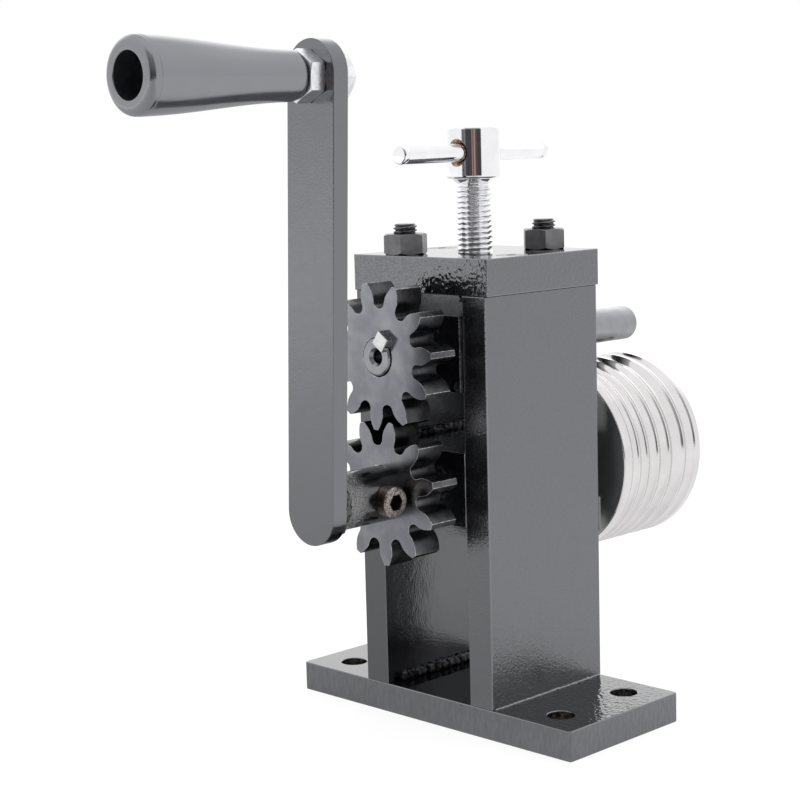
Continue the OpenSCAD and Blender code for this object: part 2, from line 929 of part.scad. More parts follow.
// Hanger studs and their nuts

module hanger_studs() {
  stud_top_z = cap_top_z + stud_nut_h + stud_top;
  foot_z = upper_block_top_z - stud_depth;
  color(black_oxide)
    stud_places()
      translate([0, 0, foot_z])
        cylinder(d = stud_d, h = stud_top_z - foot_z);
}

module stud_nut(turn) {
  color(black_oxide)
    translate([0, 0, cap_top_z])
      rotate([0, 0, turn])
        hex_nut(stud_nut_af, stud_nut_h, stud_d + 2 * running_fit);
}

module left_stud_nut() {
  translate([-stud_x, -stud_y, 0])
    stud_nut(left_nut_turn);
}

module right_stud_nut() {
  translate([stud_x, stud_y, 0])
    stud_nut(right_nut_turn);
}

base_plate();
left_post();
right_post();
top_plate();
top_plate_screws();
lower_bearing_block();
lower_front_bush();
lower_rear_bush();
base_welds();
block_welds();
rear_keeper_strip();
upper_bearing_block();
upper_front_bush();
upper_rear_bush();
hanger_studs();
upper_shaft();
upper_gear();
upper_gear_key();
upper_spacer();
upper_retaining_ring();
lower_shaft();
lower_gear();
lower_gear_key();
lower_front_spacer();
lower_rear_spacer();
grooved_roller();
roller_key();
roller_end_washer();
roller_end_screw();
crank_arm();
crank_boss();
boss_weld();
clamp_screw();
handle_bolt();
handle_nuts();
handle_grip();
pressure_screw();
tommy_bar();
left_stud_nut();
right_stud_nut();
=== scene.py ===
# %% [markdown]
# # A ring bending machine
# A small bench machine: two upright bars stand on a base plate and carry two geared shafts. The crank turns
# the lower shaft with its grooved roller, the gears turn the plain shaft above it, and a big screw sets the
# gap. The solid model of the machine comes in as a fixed frame, and this lesson dresses it: soft edges,
# welds, threads, polished turned parts, a finish for every metal, and the photographer's table.

# %% Load the machine
import json
import math
import bmesh
import bpy
from mathutils import Matrix, Vector, noise


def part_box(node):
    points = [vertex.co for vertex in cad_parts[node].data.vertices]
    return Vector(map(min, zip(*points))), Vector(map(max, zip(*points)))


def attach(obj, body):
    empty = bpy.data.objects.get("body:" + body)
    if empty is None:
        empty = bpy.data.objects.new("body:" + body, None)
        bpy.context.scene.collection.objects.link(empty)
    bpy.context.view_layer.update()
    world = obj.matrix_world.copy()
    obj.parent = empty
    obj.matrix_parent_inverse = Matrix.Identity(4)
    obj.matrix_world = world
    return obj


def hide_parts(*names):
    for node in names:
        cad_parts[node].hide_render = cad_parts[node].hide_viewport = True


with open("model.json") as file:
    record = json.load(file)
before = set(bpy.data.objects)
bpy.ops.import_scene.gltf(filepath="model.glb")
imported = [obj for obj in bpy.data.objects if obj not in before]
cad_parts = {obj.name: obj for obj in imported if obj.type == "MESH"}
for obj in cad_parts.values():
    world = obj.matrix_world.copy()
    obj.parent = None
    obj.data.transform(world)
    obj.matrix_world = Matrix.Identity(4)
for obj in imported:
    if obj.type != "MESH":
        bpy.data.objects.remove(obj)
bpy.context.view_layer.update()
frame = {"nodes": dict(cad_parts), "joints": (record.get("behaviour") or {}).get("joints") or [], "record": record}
nodes = frame["nodes"]
joints = {joint["name"]: joint for joint in frame["joints"]}
bodies = frame["record"]["behaviour"]["bodies"]
body_of = {node: body for body, members in bodies.items() for node in members}
print("pieces in the machine:", len(nodes))

# %% [markdown]
# ## Units and axes
# Blender works in metres, and a machinist thinks in millimetres, so sizes below are numbers times MM.
# The turning axes come from the joints of the frame. Reading them there, and not typing them again, keeps
# each new piece exactly on the shaft that carries it.

# %% Axes of the shafts and the crank
MM = 0.001
UP = Vector((0, 0, 1))
FRONT = Vector((0, -1, 0))
lower_axis = Vector(joints["crank_spin"]["pos_m"])
upper_axis = Vector(joints["upper_spin"]["pos_m"])
handle_axis = Vector(joints["grip_spin"]["pos_m"])
bar_direction = Vector(joints["bar_slide"]["axis"]).normalized()
crank_direction = (handle_axis - lower_axis) * Vector((1, 0, 1))
crank_direction.normalize()
print("distance between the shafts:", round((upper_axis - lower_axis).z / MM, 2), "mm")


def low(node):
    """Lowest corner of a solid, in metres."""
    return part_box(node)[0]


def high(node):
    """Highest corner of a solid, in metres."""
    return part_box(node)[1]


# %% [markdown]
# ## The camera
# The photographer stood in front of the right hand corner of the base, a little above the machine. The
# angles and the lens were found by matching corners of the plates, so straight edges line up with the
# picture. A camera in Blender looks along its own minus Z, so its Z axis points back to the lens.

# %% Place the camera
CAMERA_AZIMUTH = math.radians(45.257)
CAMERA_ELEVATION = math.radians(8.058)
CAMERA_ROLL = math.radians(-1.519)
CAMERA_PLACE = Vector((0.425705, -0.459123, 0.195222))
CAMERA_LENS = 84.4485
SENSOR_WIDTH = 36.0
NEAREST_SEEN = 10 * MM


def make_camera():
    backwards = Vector((math.sin(CAMERA_AZIMUTH) * math.cos(CAMERA_ELEVATION),
                        -math.cos(CAMERA_AZIMUTH) * math.cos(CAMERA_ELEVATION),
                        math.sin(CAMERA_ELEVATION)))
    sideways = (-backwards).cross(UP).normalized()
    upwards = backwards.cross(sideways)
    turn = Matrix.Rotation(CAMERA_ROLL, 3, backwards)
    axes = Matrix((turn @ sideways, turn @ upwards, backwards)).transposed()
    data = bpy.data.cameras.new("camera")
    data.lens = CAMERA_LENS
    data.sensor_width = SENSOR_WIDTH
    data.clip_start = NEAREST_SEEN
    camera = bpy.data.objects.new("camera", data)
    camera.matrix_world = Matrix.Translation(CAMERA_PLACE) @ axes.to_4x4()
    bpy.context.scene.collection.objects.link(camera)
    bpy.context.scene.camera = camera
    return backwards


towards_camera = make_camera()
camera_side = Vector((towards_camera.x, towards_camera.y, 0)).normalized()
print("camera looks from", [round(v, 3) for v in towards_camera])

# %% [markdown]
# ## A short way to write materials
# A finish is a small network: something that varies over the surface, and a place where that variation
# goes. The helpers below add one network node with its settings in one line. Any value may be a plain number
# or the output of another node, so the lines of a finish read like a sum.


# %% Helpers for nodes
def feed(tree, socket, value):
    """Gives a socket a plain value, or the output of another node."""
    if isinstance(value, bpy.types.NodeSocket):
        tree.links.new(value, socket)
    else:
        socket.default_value = value


def add_node(tree, kind, settings=None, **sockets):
    """Adds one node. An underscore in a socket's name stands for a blank."""
    made = tree.nodes.new(kind)
    for name, value in (settings or {}).items():
        setattr(made, name, value)
    for name, value in sockets.items():
        feed(tree, made.inputs[name.replace("_", " ")], value)
    return made


def maths(tree, operation, *values, kind="ShaderNodeMath", out="Value"):
    """One step of arithmetic on values, in the order of the node's sockets."""
    made = add_node(tree, kind, {"operation": operation})
    for socket, value in zip(made.inputs, values):
        feed(tree, socket, value)
    return made.outputs[out]


def vector_maths(tree, operation, *values, out="Vector"):
    return maths(tree, operation, *values, kind="ShaderNodeVectorMath", out=out)


def mix(tree, share, first, second, how="MIX"):
    """Mixes two colours: the first at share zero, the second at share one."""
    made = add_node(tree, "ShaderNodeMixRGB", {"blend_type": how}, Fac=share, Color1=first, Color2=second)
    return made.outputs[0]


def rescale(tree, value, start, end, first=0.0, last=1.0):
    """Turns the stretch from start to end into the one from first to last, and holds still beyond it."""
    made = add_node(tree, "ShaderNodeMapRange", Value=value, From_Min=start, From_Max=end)
    made.inputs["To Min"].default_value = first
    made.inputs["To Max"].default_value = last
    return made.outputs[0]


def where(tree):
    """The place of a point, in metres, in the frame that all pieces share."""
    return add_node(tree, "ShaderNodeTexCoord").outputs["Object"]


def part_of(tree, vector, axis):
    return add_node(tree, "ShaderNodeSeparateXYZ", Vector=vector).outputs[axis]


# %% [markdown]
# ## Patterns
# Two patterns do nearly all the work: a fine grain, and a colour ramp that turns the grain into tones.
# Object coordinates are in metres, so a grain of one millimetre needs a scale of a thousand.


# %% Grain, ramp and bump
def grain(tree, size, detail=2.0, stretch=(1, 1, 1)):
    """A noise whose blots are about size metres wide."""
    place = add_node(tree, "ShaderNodeMapping", Vector=where(tree), Scale=stretch).outputs[0]
    return add_node(tree, "ShaderNodeTexNoise", Vector=place, Scale=1 / size, Detail=detail).outputs[0]


def ramp(tree, value, *stops):
    """Turns a value into a colour or a grey. A stop is a position and a grey or a colour."""
    made = add_node(tree, "ShaderNodeValToRGB", Fac=value)
    elements = made.color_ramp.elements
    while len(elements) < len(stops):
        elements.new(0.5)
    for element, (position, tone) in zip(elements, stops):
        element.position = position
        element.color = (*tone, 1) if isinstance(tone, tuple) else (tone, tone, tone, 1)
    return made.outputs[0]


def bump(tree, height, depth, strength=1.0, under=None):
    """Raises the surface where height is bright, by depth metres, on top of the bump that lies under it."""
    made = add_node(tree, "ShaderNodeBump", Height=height, Distance=depth, Strength=strength)
    if under:
        tree.links.new(under, made.inputs["Normal"])
    return made.outputs[0]


finishes = []


def finish(name, metallic, ior=1.5):
    """A new material, with its tree and its shader."""
    material = bpy.data.materials.new(name)
    finishes.append(material)
    material.use_nodes = True
    tree = material.node_tree
    shader = tree.nodes["Principled BSDF"]
    shader.inputs["Metallic"].default_value = metallic
    shader.inputs["IOR"].default_value = ior
    return material, tree, shader


def wire(tree, shader, **sockets):
    for name, value in sockets.items():
        tree.links.new(value, shader.inputs[name.replace("_", " ")])


# %% [markdown]
# ## Hammered paint
# The frame and the crank wear thick black paint with an orange peel skin. It looks grey in the picture
# because it is glossy: most of what the eye gets is the white studio, mirrored. So the colour is nearly
# black, the index of refraction is high, and the skin is a bump of millimetre lumps over slow waves. Where
# the mirror image changes from white to black, those lumps break it into the crawling pattern that such
# paint shows.

# %% Paint
PAINT_TINT = (0.93, 0.94, 1.0, 1.0)
PAINT_BLACK = (0.004, 0.0045, 0.005)
WAVE_LENGTH = 6 * MM


def hammered_paint(name, lump, depth, dull, ior=2.5, wave=0.08, stretch=(1, 1, 1), blot=9, pale=0.008):
    """Lumps and slow waves in millimetres. Dull is the range of roughness, and pale the brightest tone."""
    material, tree, shader = finish(name, 0.0, ior)
    shader.inputs["Specular Tint"].default_value = PAINT_TINT
    blots = grain(tree, blot * MM, 2, stretch)
    tone = ramp(tree, blots, (0.3, PAINT_BLACK), (0.7, (pale, pale * 1.03, pale * 1.12)))
    sheen = ramp(tree, grain(tree, 3 * MM, 3), (0.3, dull[0]), (0.75, dull[1]))
    skin = bump(tree, grain(tree, lump * MM, 1.0, stretch), depth * MM)
    skin = bump(tree, grain(tree, WAVE_LENGTH, 1.0), wave * MM, under=skin)
    wire(tree, shader, Base_Color=tone, Roughness=sheen, Normal=skin)
    return material


paint = hammered_paint("hammered_paint", 1.4, 0.22, (0.06, 0.13))
inner_paint = hammered_paint("hammered_paint_thin", 0.55, 0.05, (0.10, 0.18), 2.15, 0.09)
flat_paint = hammered_paint("hammered_paint_rubbed_flat", 0.7, 0.10, (0.20, 0.30), 2.5, 0.02)
dull_paint = hammered_paint("hammered_paint_dull", 0.7, 0.06, (0.26, 0.36), 1.7)
arm_paint = hammered_paint("hammered_paint_even", 0.7, 0.035, (0.13, 0.20), 2.6, 0.05)
sandy_paint = hammered_paint("hammered_paint_sandy", 0.5, 0.16, (0.08, 0.18), 2.0)
edge_paint = hammered_paint("paint_thinned_on_edges", 0.7, 0.04, (0.08, 0.14), 3.0)
weld_paint = hammered_paint("hammered_paint_on_welds", 0.5, 0.05, (0.28, 0.38), 1.35)
# A painted highlight: a pale tone for the top faces of the straight weld beads.
painted_highlight_on_welds = hammered_paint("painted_highlight_on_weld_tops", 0.4, 0.10, (0.2, 0.3), 1.6, 0.02, blot=0.6, pale=0.4)
run_paint = hammered_paint("hammered_paint_with_runs", 0.9, 0.24, (0.10, 0.18), stretch=(1, 1, 0.3),
                           blot=0.9, pale=0.05)
print("paints:", len(finishes))

# %% [markdown]
# ## Paint that changes along a piece
# On three pieces the paint isn't the same all over. The place of a point, rescaled to a share from zero to
# one, steers the change. The boss comes first: weld spatter makes it rough near the arm. A little noise is
# added to the share, so the border of the spatter is ragged, as it is on the real boss.

# %% Paint on the boss
SPATTER_GRAIN = 0.32 * MM
SPATTER_DARK = (0.03, 0.03, 0.03)
PAINTED_GLINT_PALE = (0.30, 0.30, 0.31)


def boss_paint():
    """Rough paint with weld spatter and painted glints near the arm, smooth paint near the gear."""
    material, tree, shader = finish("hammered_paint_over_spatter", 0.0, 2.0)
    share = rescale(tree, part_of(tree, where(tree), "Y"), low("crank_boss").y, high("crank_boss").y)
    ragged = mix(tree, 0.35, share, grain(tree, 2 * MM, 3), "ADD")
    spatter = ramp(tree, ragged, (0.42, 1.0), (0.66, 0.0))
    sheen = rescale(tree, spatter, 0, 1, 0.12, 0.26)
    # Dark specks are the spatter's own tone. The pale specks are painted glints on the spatter.
    spatter_and_painted_glints = ramp(tree, grain(tree, SPATTER_GRAIN, 2), (0.42, SPATTER_DARK), (0.60, PAINTED_GLINT_PALE))
    tone = mix(tree, spatter, (*PAINT_BLACK, 1), spatter_and_painted_glints)
    skin = bump(tree, grain(tree, 0.4 * MM, 2), 0.26 * MM, rescale(tree, spatter, 0, 1, 0.12))
    wire(tree, shader, Base_Color=tone, Roughness=sheen, Normal=skin)
    return material


spatter_paint = boss_paint()
print("length of the boss:", round((high("crank_boss").y - low("crank_boss").y) / MM, 1), "mm")

# %% [markdown]
# ## Paint that dried level
# On a flat top wet paint runs level before it sets, so it mirrors more evenly. On the base's top it crinkles
# towards the right, and there a share steers the strength of the bump. A second share, made from the
# distance to the middle, takes most of the gloss away between the posts, where the picture is nearly black.

# %% Paint that dried level
LEVEL_PALE = (0.010, 0.0105, 0.012)
POST_FACE = 19.0 * MM
FULL_GLOSS = 0.5


def level_paint(name, ior, crinkle, between_posts):
    """Level paint, crinkled by a share towards the right; its gloss between the posts paints shade."""
    material, tree, shader = finish(name, 0.0, ior)
    shader.inputs["Specular Tint"].default_value = PAINT_TINT
    tone = ramp(tree, grain(tree, 5 * MM), (0.3, PAINT_BLACK), (0.7, LEVEL_PALE))
    sheen = ramp(tree, grain(tree, 3 * MM, 3), (0.3, 0.03), (0.75, 0.07))
    right = part_of(tree, where(tree), "X")
    share = rescale(tree, right, -4 * MM, 26 * MM, 0.1, crinkle)
    skin = bump(tree, grain(tree, 1.4 * MM, 1), 0.22 * MM, share)
    aside = maths(tree, "ABSOLUTE", right)
    # Painted shade: less gloss between the posts darkens the base's top there.
    gloss = rescale(tree, aside, POST_FACE - 0.5 * MM, POST_FACE + 0.5 * MM, between_posts, FULL_GLOSS)
    wire(tree, shader, Base_Color=tone, Roughness=sheen, Normal=skin, Specular_IOR_Level=gloss)
    return material


top_paint = level_paint("hammered_paint_level", 2.0, 0.14, FULL_GLOSS)
base_top_paint = level_paint("hammered_paint_level_and_crinkled", 1.7, 1.0, 0.08)
print("paints with those that change along a piece:", len(finishes))

# %% [markdown]
# ## Bare and treated metals
# Every metal here is the same network with other numbers: how bright, how rough, and how fine its tool marks
# are. A small table of calls reads better than a copy for each.


# %% Metals
def metal(name, dark, bright, roughness, blot=3.0, marks=0.35, depth=0.004, stretch=(1, 1, 1)):
    """Blots of dark and bright, a range of roughness, and tool marks of a size and depth in millimetres."""
    material, tree, shader = finish(name, 1.0)
    tone = ramp(tree, grain(tree, blot * MM, 4), (0.35, dark), (0.68, bright))
    shine = ramp(tree, grain(tree, blot * 0.6 * MM, 3), (0.3, roughness[0]), (0.7, roughness[1]))
    skin = bump(tree, grain(tree, marks * MM, 3, stretch), depth * MM, 0.6)
    wire(tree, shader, Base_Color=tone, Roughness=shine, Normal=skin)
    return material


satin_steel = metal("satin_blackened_steel", (0.21, 0.215, 0.24), (0.29, 0.29, 0.31), (0.17, 0.26),
                    blot=7, depth=0.003)
# The flanks are rougher milled steel, and their darker colour is painted shade for the dark that they mirror.
flank_steel_with_painted_shade = metal("milled_tooth_flank_with_painted_shade", (0.075, 0.077, 0.085), (0.13, 0.13, 0.14), (0.24, 0.36), blot=4)
edge_steel = metal("worn_bright_edge", (0.16, 0.165, 0.18), (0.62, 0.62, 0.63), (0.2, 0.3),
                   blot=1.6, marks=0.3, depth=0.01)
dark_steel = metal("dark_turned_steel", (0.30, 0.305, 0.325), (0.36, 0.365, 0.385), (0.26, 0.36),
                   blot=7, marks=0.3, depth=0.0015, stretch=(1, 4, 1))
dark_face = metal("dark_turned_face", (0.60, 0.61, 0.62), (0.66, 0.67, 0.68), (0.38, 0.43),
                  blot=6, marks=0.3, depth=0.003)
bright_steel = metal("bright_ground_steel", (0.62, 0.62, 0.63), (0.75, 0.75, 0.76), (0.16, 0.28),
                     blot=2, marks=0.2)
chrome = metal("polished_chrome", (0.85, 0.85, 0.87), (0.90, 0.90, 0.92), (0.04, 0.08),
               blot=6, marks=0.8, depth=0.0012)
thread_chrome = metal("chromed_thread", (0.80, 0.80, 0.82), (0.90, 0.90, 0.92), (0.16, 0.26),
                      blot=2, depth=0.012)
satin_chrome = metal("satin_chrome", (0.68, 0.665, 0.665), (0.745, 0.73, 0.73), (0.12, 0.19),
                     blot=9, marks=0.25, depth=0.0012, stretch=(1, 6, 1))
copper = metal("bare_copper_edge", (0.16, 0.09, 0.055), (0.72, 0.60, 0.48), (0.22, 0.36),
               blot=0.9, marks=0.3, depth=0.008)
zinc = metal("bright_zinc", (0.76, 0.78, 0.81), (0.92, 0.93, 0.95), (0.26, 0.34),
             blot=2, marks=0.5, depth=0.002)
bare_steel = metal("bare_drilled_steel", (0.06, 0.055, 0.05), (0.42, 0.38, 0.35), (0.25, 0.4),
                   blot=1.4, marks=0.6, depth=0.03)
black_oxide = metal("black_oxide", (0.14, 0.14, 0.145), (0.19, 0.19, 0.20), (0.28, 0.40),
                    marks=0.3, depth=0.005)
bronze = metal("bearing_bronze", (0.45, 0.28, 0.12), (0.60, 0.40, 0.19), (0.25, 0.4), blot=2)
print("finishes with the metals:", len(finishes))

# %% [markdown]
# ## Three special finishes
# The forming shaft gets painted shade on its side that faces down. The clamp screw has rust starting
# in its black oxide, and the rim of its head is worn to speckled steel. The grip is moulded plastic:
# nearly black, with a high index of refraction for its gloss, and hardly any texture.

# %% Shaft, clamp screw and plastic
CLAMP_FACE = 13.0 * MM
RIM_START = 0.9 * MM
RIM_END = 0.4 * MM
RUST_DARK = (0.045, 0.036, 0.032)
RUST_PALE = (0.13, 0.10, 0.085)
RIM_BARE = (0.45, 0.42, 0.39)


def with_painted_shade_underneath(plain, name):
    """A copy of a metal with painted shade on its side that faces down."""
    material = plain.copy()
    material.name = name
    finishes.append(material)
    tree = material.node_tree
    shader = tree.nodes["Principled BSDF"]
    tone = shader.inputs["Base Color"].links[0].from_socket
    up = part_of(tree, add_node(tree, "ShaderNodeNewGeometry").outputs["Normal"], "Z")
    # Painted shade: the colour darkens as the normal turns down.
    shade = ramp(tree, rescale(tree, up, -1.0, 0.0), (0.05, 0.12), (0.5, 1.0))
    wire(tree, shader, Base_Color=mix(tree, 1.0, tone, shade, "MULTIPLY"))
    return material


def worn_socket_screw():
    """Black oxide with rust starting in it, worn to speckled bright steel on the rim of the head."""
    material, tree, shader = finish("worn_black_oxide", 1.0)
    dark = ramp(tree, grain(tree, 1.4 * MM, 4), (0.35, RUST_DARK), (0.7, RUST_PALE))
    bare = ramp(tree, grain(tree, 0.45 * MM, 2), (0.40, RUST_PALE), (0.58, RIM_BARE))
    axis = Vector((crank_direction.z, 0, -crank_direction.x))
    height = vector_maths(tree, "DOT_PRODUCT", where(tree), axis, out="Value")
    top = axis.dot(lower_axis) + CLAMP_FACE
    tone = mix(tree, rescale(tree, height, top - RIM_START, top - RIM_END), dark, bare)
    shine = ramp(tree, grain(tree, 0.7 * MM, 3), (0.3, 0.28), (0.7, 0.5))
    skin = bump(tree, grain(tree, 0.35 * MM, 3), 0.03 * MM, 0.7)
    wire(tree, shader, Base_Color=tone, Roughness=shine, Normal=skin)
    return material


def moulded_plastic():
    material, tree, shader = finish("glossy_black_plastic", 0.0, 3.1)
    tone = ramp(tree, grain(tree, 6 * MM), (0.3, (0.020, 0.021, 0.024)), (0.7, (0.030, 0.031, 0.035)))
    shader.inputs["Specular Tint"].default_value = PAINT_TINT
    sheen = ramp(tree, grain(tree, 2 * MM, 3), (0.3, 0.15), (0.7, 0.22))
    skin = bump(tree, grain(tree, 0.5 * MM, 2), 0.006 * MM, 0.6)
    wire(tree, shader, Base_Color=tone, Roughness=sheen, Normal=skin)
    return material


# The forming shaft's steel carries painted shade on its underside.
forming_steel = with_painted_shade_underneath(dark_steel, "dark_turned_steel_with_painted_shade_underneath")
worn_oxide = worn_socket_screw()
plastic = moulded_plastic()
print("finishes in all:", len(finishes))

# %% [markdown]
# ## Finishes on the solids
# Each solid gets one finish for all its faces first. The solids come in with plain materials of their own,
# so those are cleared before the new finish goes in.


# %% Dress the solids
def dress(material, *names):
    for name in names:
        solid = nodes[name]
        solid.data.materials.clear()
        solid.data.materials.append(material)


def dress_faces(node, material, chosen):
    """Gives one more material to the faces that a rule chooses, by a face's centre and its normal."""
    mesh = nodes[node].data
    mesh.materials.append(material)
    for face in mesh.polygons:
        if chosen(face.center, face.normal):
            face.material_index = len(mesh.materials) - 1


dress(paint, "base_plate", "top_plate", "lower_bearing_block", "upper_bearing_block", "rear_keeper_strip")
dress(paint, "base_welds", "block_welds", "boss_weld")
dress(inner_paint, "left_post")
dress(flat_paint, "right_post")
dress(arm_paint, "crank_arm")
dress(spatter_paint, "crank_boss")
dress(satin_steel, "upper_gear", "lower_gear", "upper_spacer", "lower_front_spacer", "lower_rear_spacer")
dress(dark_steel, "upper_shaft", "lower_shaft")
dress(bronze, "lower_front_bush", "lower_rear_bush", "upper_front_bush", "upper_rear_bush")
dress(bright_steel, "upper_gear_key", "lower_gear_key", "roller_key", "upper_retaining_ring")
dress(black_oxide, "top_plate_screws", "hanger_studs", "left_stud_nut", "right_stud_nut")
dress(worn_oxide, "clamp_screw")
dress(zinc, "roller_end_washer", "roller_end_screw", "handle_bolt", "handle_nuts")
dress(satin_chrome, "grooved_roller")
dress(chrome, "pressure_screw", "tommy_bar")
dress(plastic, "handle_grip")
print("solids with a finish:", sum(1 for solid in nodes.values() if solid.data.materials))

# %% [markdown]
# ## Finishes on single faces
# The gears' flanks, the tops of both plates, the sides of the base and the walls of the bolt holes wear
# another finish than the rest of their piece. A rule picks those faces by their place and direction. No list
# of face numbers is needed, and such a list would be wrong as soon as a solid changed.

# %% Dress single faces
BOLT_ZONE_X = 55 * MM
BOLT_ZONE_Y = 22 * MM


def is_flank(centre, normal):
    return abs(normal.y) < 0.5


def is_side(centre, normal):
    return abs(normal.z) < 0.3


def is_top(centre, normal):
    return normal.z > 0.9


def in_a_bolt_hole(centre, normal):
    return abs(normal.z) < 0.5 and abs(centre.x) < BOLT_ZONE_X and abs(centre.y) < BOLT_ZONE_Y


for gear in ("upper_gear", "lower_gear"):
    # The flanks get the rougher steel with painted shade.
    dress_faces(gear, flank_steel_with_painted_shade, is_flank)
    nodes[gear].data.materials.append(edge_steel)
dress_faces("base_plate", run_paint, is_side)
dress_faces("base_plate", base_top_paint, is_top)
dress_faces("base_plate", bare_steel, in_a_bolt_hole)
dress_faces("top_plate", top_paint, is_top)
for plate in ("base_plate", "top_plate", "left_post", "right_post", "lower_bearing_block"):
    nodes[plate].data.materials.append(edge_paint)
print("finishes on the base plate:", len(nodes["base_plate"].data.materials))

# %% [markdown]
# ## Soft edges
# Sawn and milled steel never has a razor edge: the paint rounds it and a file breaks it. Modifiers do this
# without touching the solid itself. Weld joins the corners that the import left apart, Decimate in its
# planar mode makes each flat face one polygon, and Bevel then rounds only the edges that are really sharp.
# The rounds wear the last finish of their piece, which is thinned paint or worn steel where it has one.

# %% Soft edges for the solids
PLATE_ROUND = 0.38
BLOCK_ROUND = 0.35
SMALL_ROUND = 0.2
SAME_POINT = 0.002 * MM
FLAT_WITHIN = math.radians(0.4)
SHARP_BEYOND = math.radians(38)


def soften(node, width, segments=2):
    solid = nodes[node]
    weld = solid.modifiers.new("weld", "WELD")
    weld.merge_threshold = SAME_POINT
    flat = solid.modifiers.new("flat", "DECIMATE")
    flat.decimate_type = "DISSOLVE"
    flat.angle_limit = FLAT_WITHIN
    edge = solid.modifiers.new("edge", "BEVEL")
    edge.width = width * MM
    edge.segments = segments
    edge.limit_method = "ANGLE"
    edge.angle_limit = SHARP_BEYOND
    edge.material = len(solid.data.materials) - 1
    even = solid.modifiers.new("even", "WEIGHTED_NORMAL")
    even.weight = 100
    solid.data.polygons.foreach_set("use_smooth", [True] * len(solid.data.polygons))


for plate in ("base_plate", "left_post", "right_post", "top_plate", "crank_arm"):
    soften(plate, PLATE_ROUND, 3)
for block in ("lower_bearing_block", "upper_bearing_block", "rear_keeper_strip"):
    soften(block, BLOCK_ROUND)
for gear in ("upper_gear", "lower_gear"):
    soften(gear, SMALL_ROUND)
for small in ("upper_gear_key", "left_stud_nut", "right_stud_nut", "handle_nuts", "crank_boss"):
    soften(small, SMALL_ROUND)
print("softened solids:", sum(1 for solid in nodes.values() if solid.modifiers))

# %% [markdown]
# ## The table
# The machine stands on a white sweep, so the floor and the background are one white. The floor keeps part
# of its real shading for the camera, so a faint shadow stays. Reflections see a floor that is darker near
# the machine on the crank's side, since that is what the paint mirrors in the picture.

# %% Table
FLOOR_SIZE = 14.0
FLOOR_DROP = 0.05 * MM
FLOOR_FRONT = 1.3
FLOOR_GLOW = 1.3
FLOOR_GLOW_SHARE = 0.82
FLOOR_SEEN = (0.825, 0.825, 0.825, 1)
FLOOR_PAPER = (0.9, 0.9, 0.9, 1)
CRANK_SIDE = Vector((-0.71, -0.70, 0.0))


def floor_material():
    material = bpy.data.materials.new("white_sweep")
    material.use_nodes = True
    tree = material.node_tree
    tree.nodes.clear()
    rays = add_node(tree, "ShaderNodeLightPath").outputs
    seen = maths(tree, "MAXIMUM", rays["Is Camera Ray"], rays["Is Glossy Ray"])
    share = maths(tree, "MULTIPLY", seen, FLOOR_GLOW_SHARE)
    reach = rescale(tree, vector_maths(tree, "DOT_PRODUCT", where(tree), CRANK_SIDE, out="Value"), -0.5, 2.0)
    # Painted shade: for reflections the floor glows darker near the machine on the crank's side.
    shade = ramp(tree, reach, (0.14, 0.8), (0.22, 0.48), (0.36, 0.6), (0.62, 0.8), (0.80, 1.0))
    white = mix(tree, rays["Is Camera Ray"], shade, FLOOR_SEEN)
    paper = add_node(tree, "ShaderNodeBsdfDiffuse", Color=FLOOR_PAPER).outputs[0]
    glow = add_node(tree, "ShaderNodeEmission", Color=white, Strength=FLOOR_GLOW).outputs[0]
    both = add_node(tree, "ShaderNodeMixShader")
    for socket, value in zip(both.inputs, (share, paper, glow)):
        feed(tree, socket, value)
    add_node(tree, "ShaderNodeOutputMaterial", Surface=both.outputs[0])
    return material


def make_floor():
    """A square sheet, cut off in front of the machine so that its mirror image ends there."""
    half = FLOOR_SIZE / 2
    aside = camera_side.cross(UP)
    reach = ((FLOOR_FRONT, -half), (FLOOR_FRONT, half), (-half, half), (-half, -half))
    mesh = bpy.data.meshes.new("floor")
    corners = [camera_side * along + aside * across - UP * FLOOR_DROP for along, across in reach]
    mesh.from_pydata(corners, [], [(0, 1, 2, 3)])
    mesh.materials.append(floor_material())
    floor = bpy.data.objects.new("floor", mesh)
    bpy.context.scene.collection.objects.link(floor)


make_floor()
print("floor reaches", FLOOR_FRONT, "m to the front")

# %% [markdown]
# ## The sky
# A polished metal shows its room, so the sky must be worth mirroring. Only reflections and light see this
# one: a dark room in front, where the camera stands, with a brown stripe low down, a bright wall behind the
# machine and white above. The camera itself sees plain white. Two shares give the direction of a ray on the
# level: how far it points to the camera's side, and how far to the side of it.

# %% Sky
SKY_TOP = 1.12
WHITE = (1, 1, 1, 1)
WHITE_ROOM = (1, 1, 1)
DARK_ROOM = (0.055, 0.055, 0.062)
WARM_ROOM = (0.42, 0.27, 0.24)
SHADOW_ROOM = (0.11, 0.07, 0.06)


def level_share(tree, way, axis):
    """How far a direction points along an axis, seen from above: zero against it, one along it."""
    level = vector_maths(tree, "NORMALIZE", vector_maths(tree, "MULTIPLY", way, (1, 1, 0)))
    return rescale(tree, vector_maths(tree, "DOT_PRODUCT", level, axis, out="Value"), -1.0, 1.0)


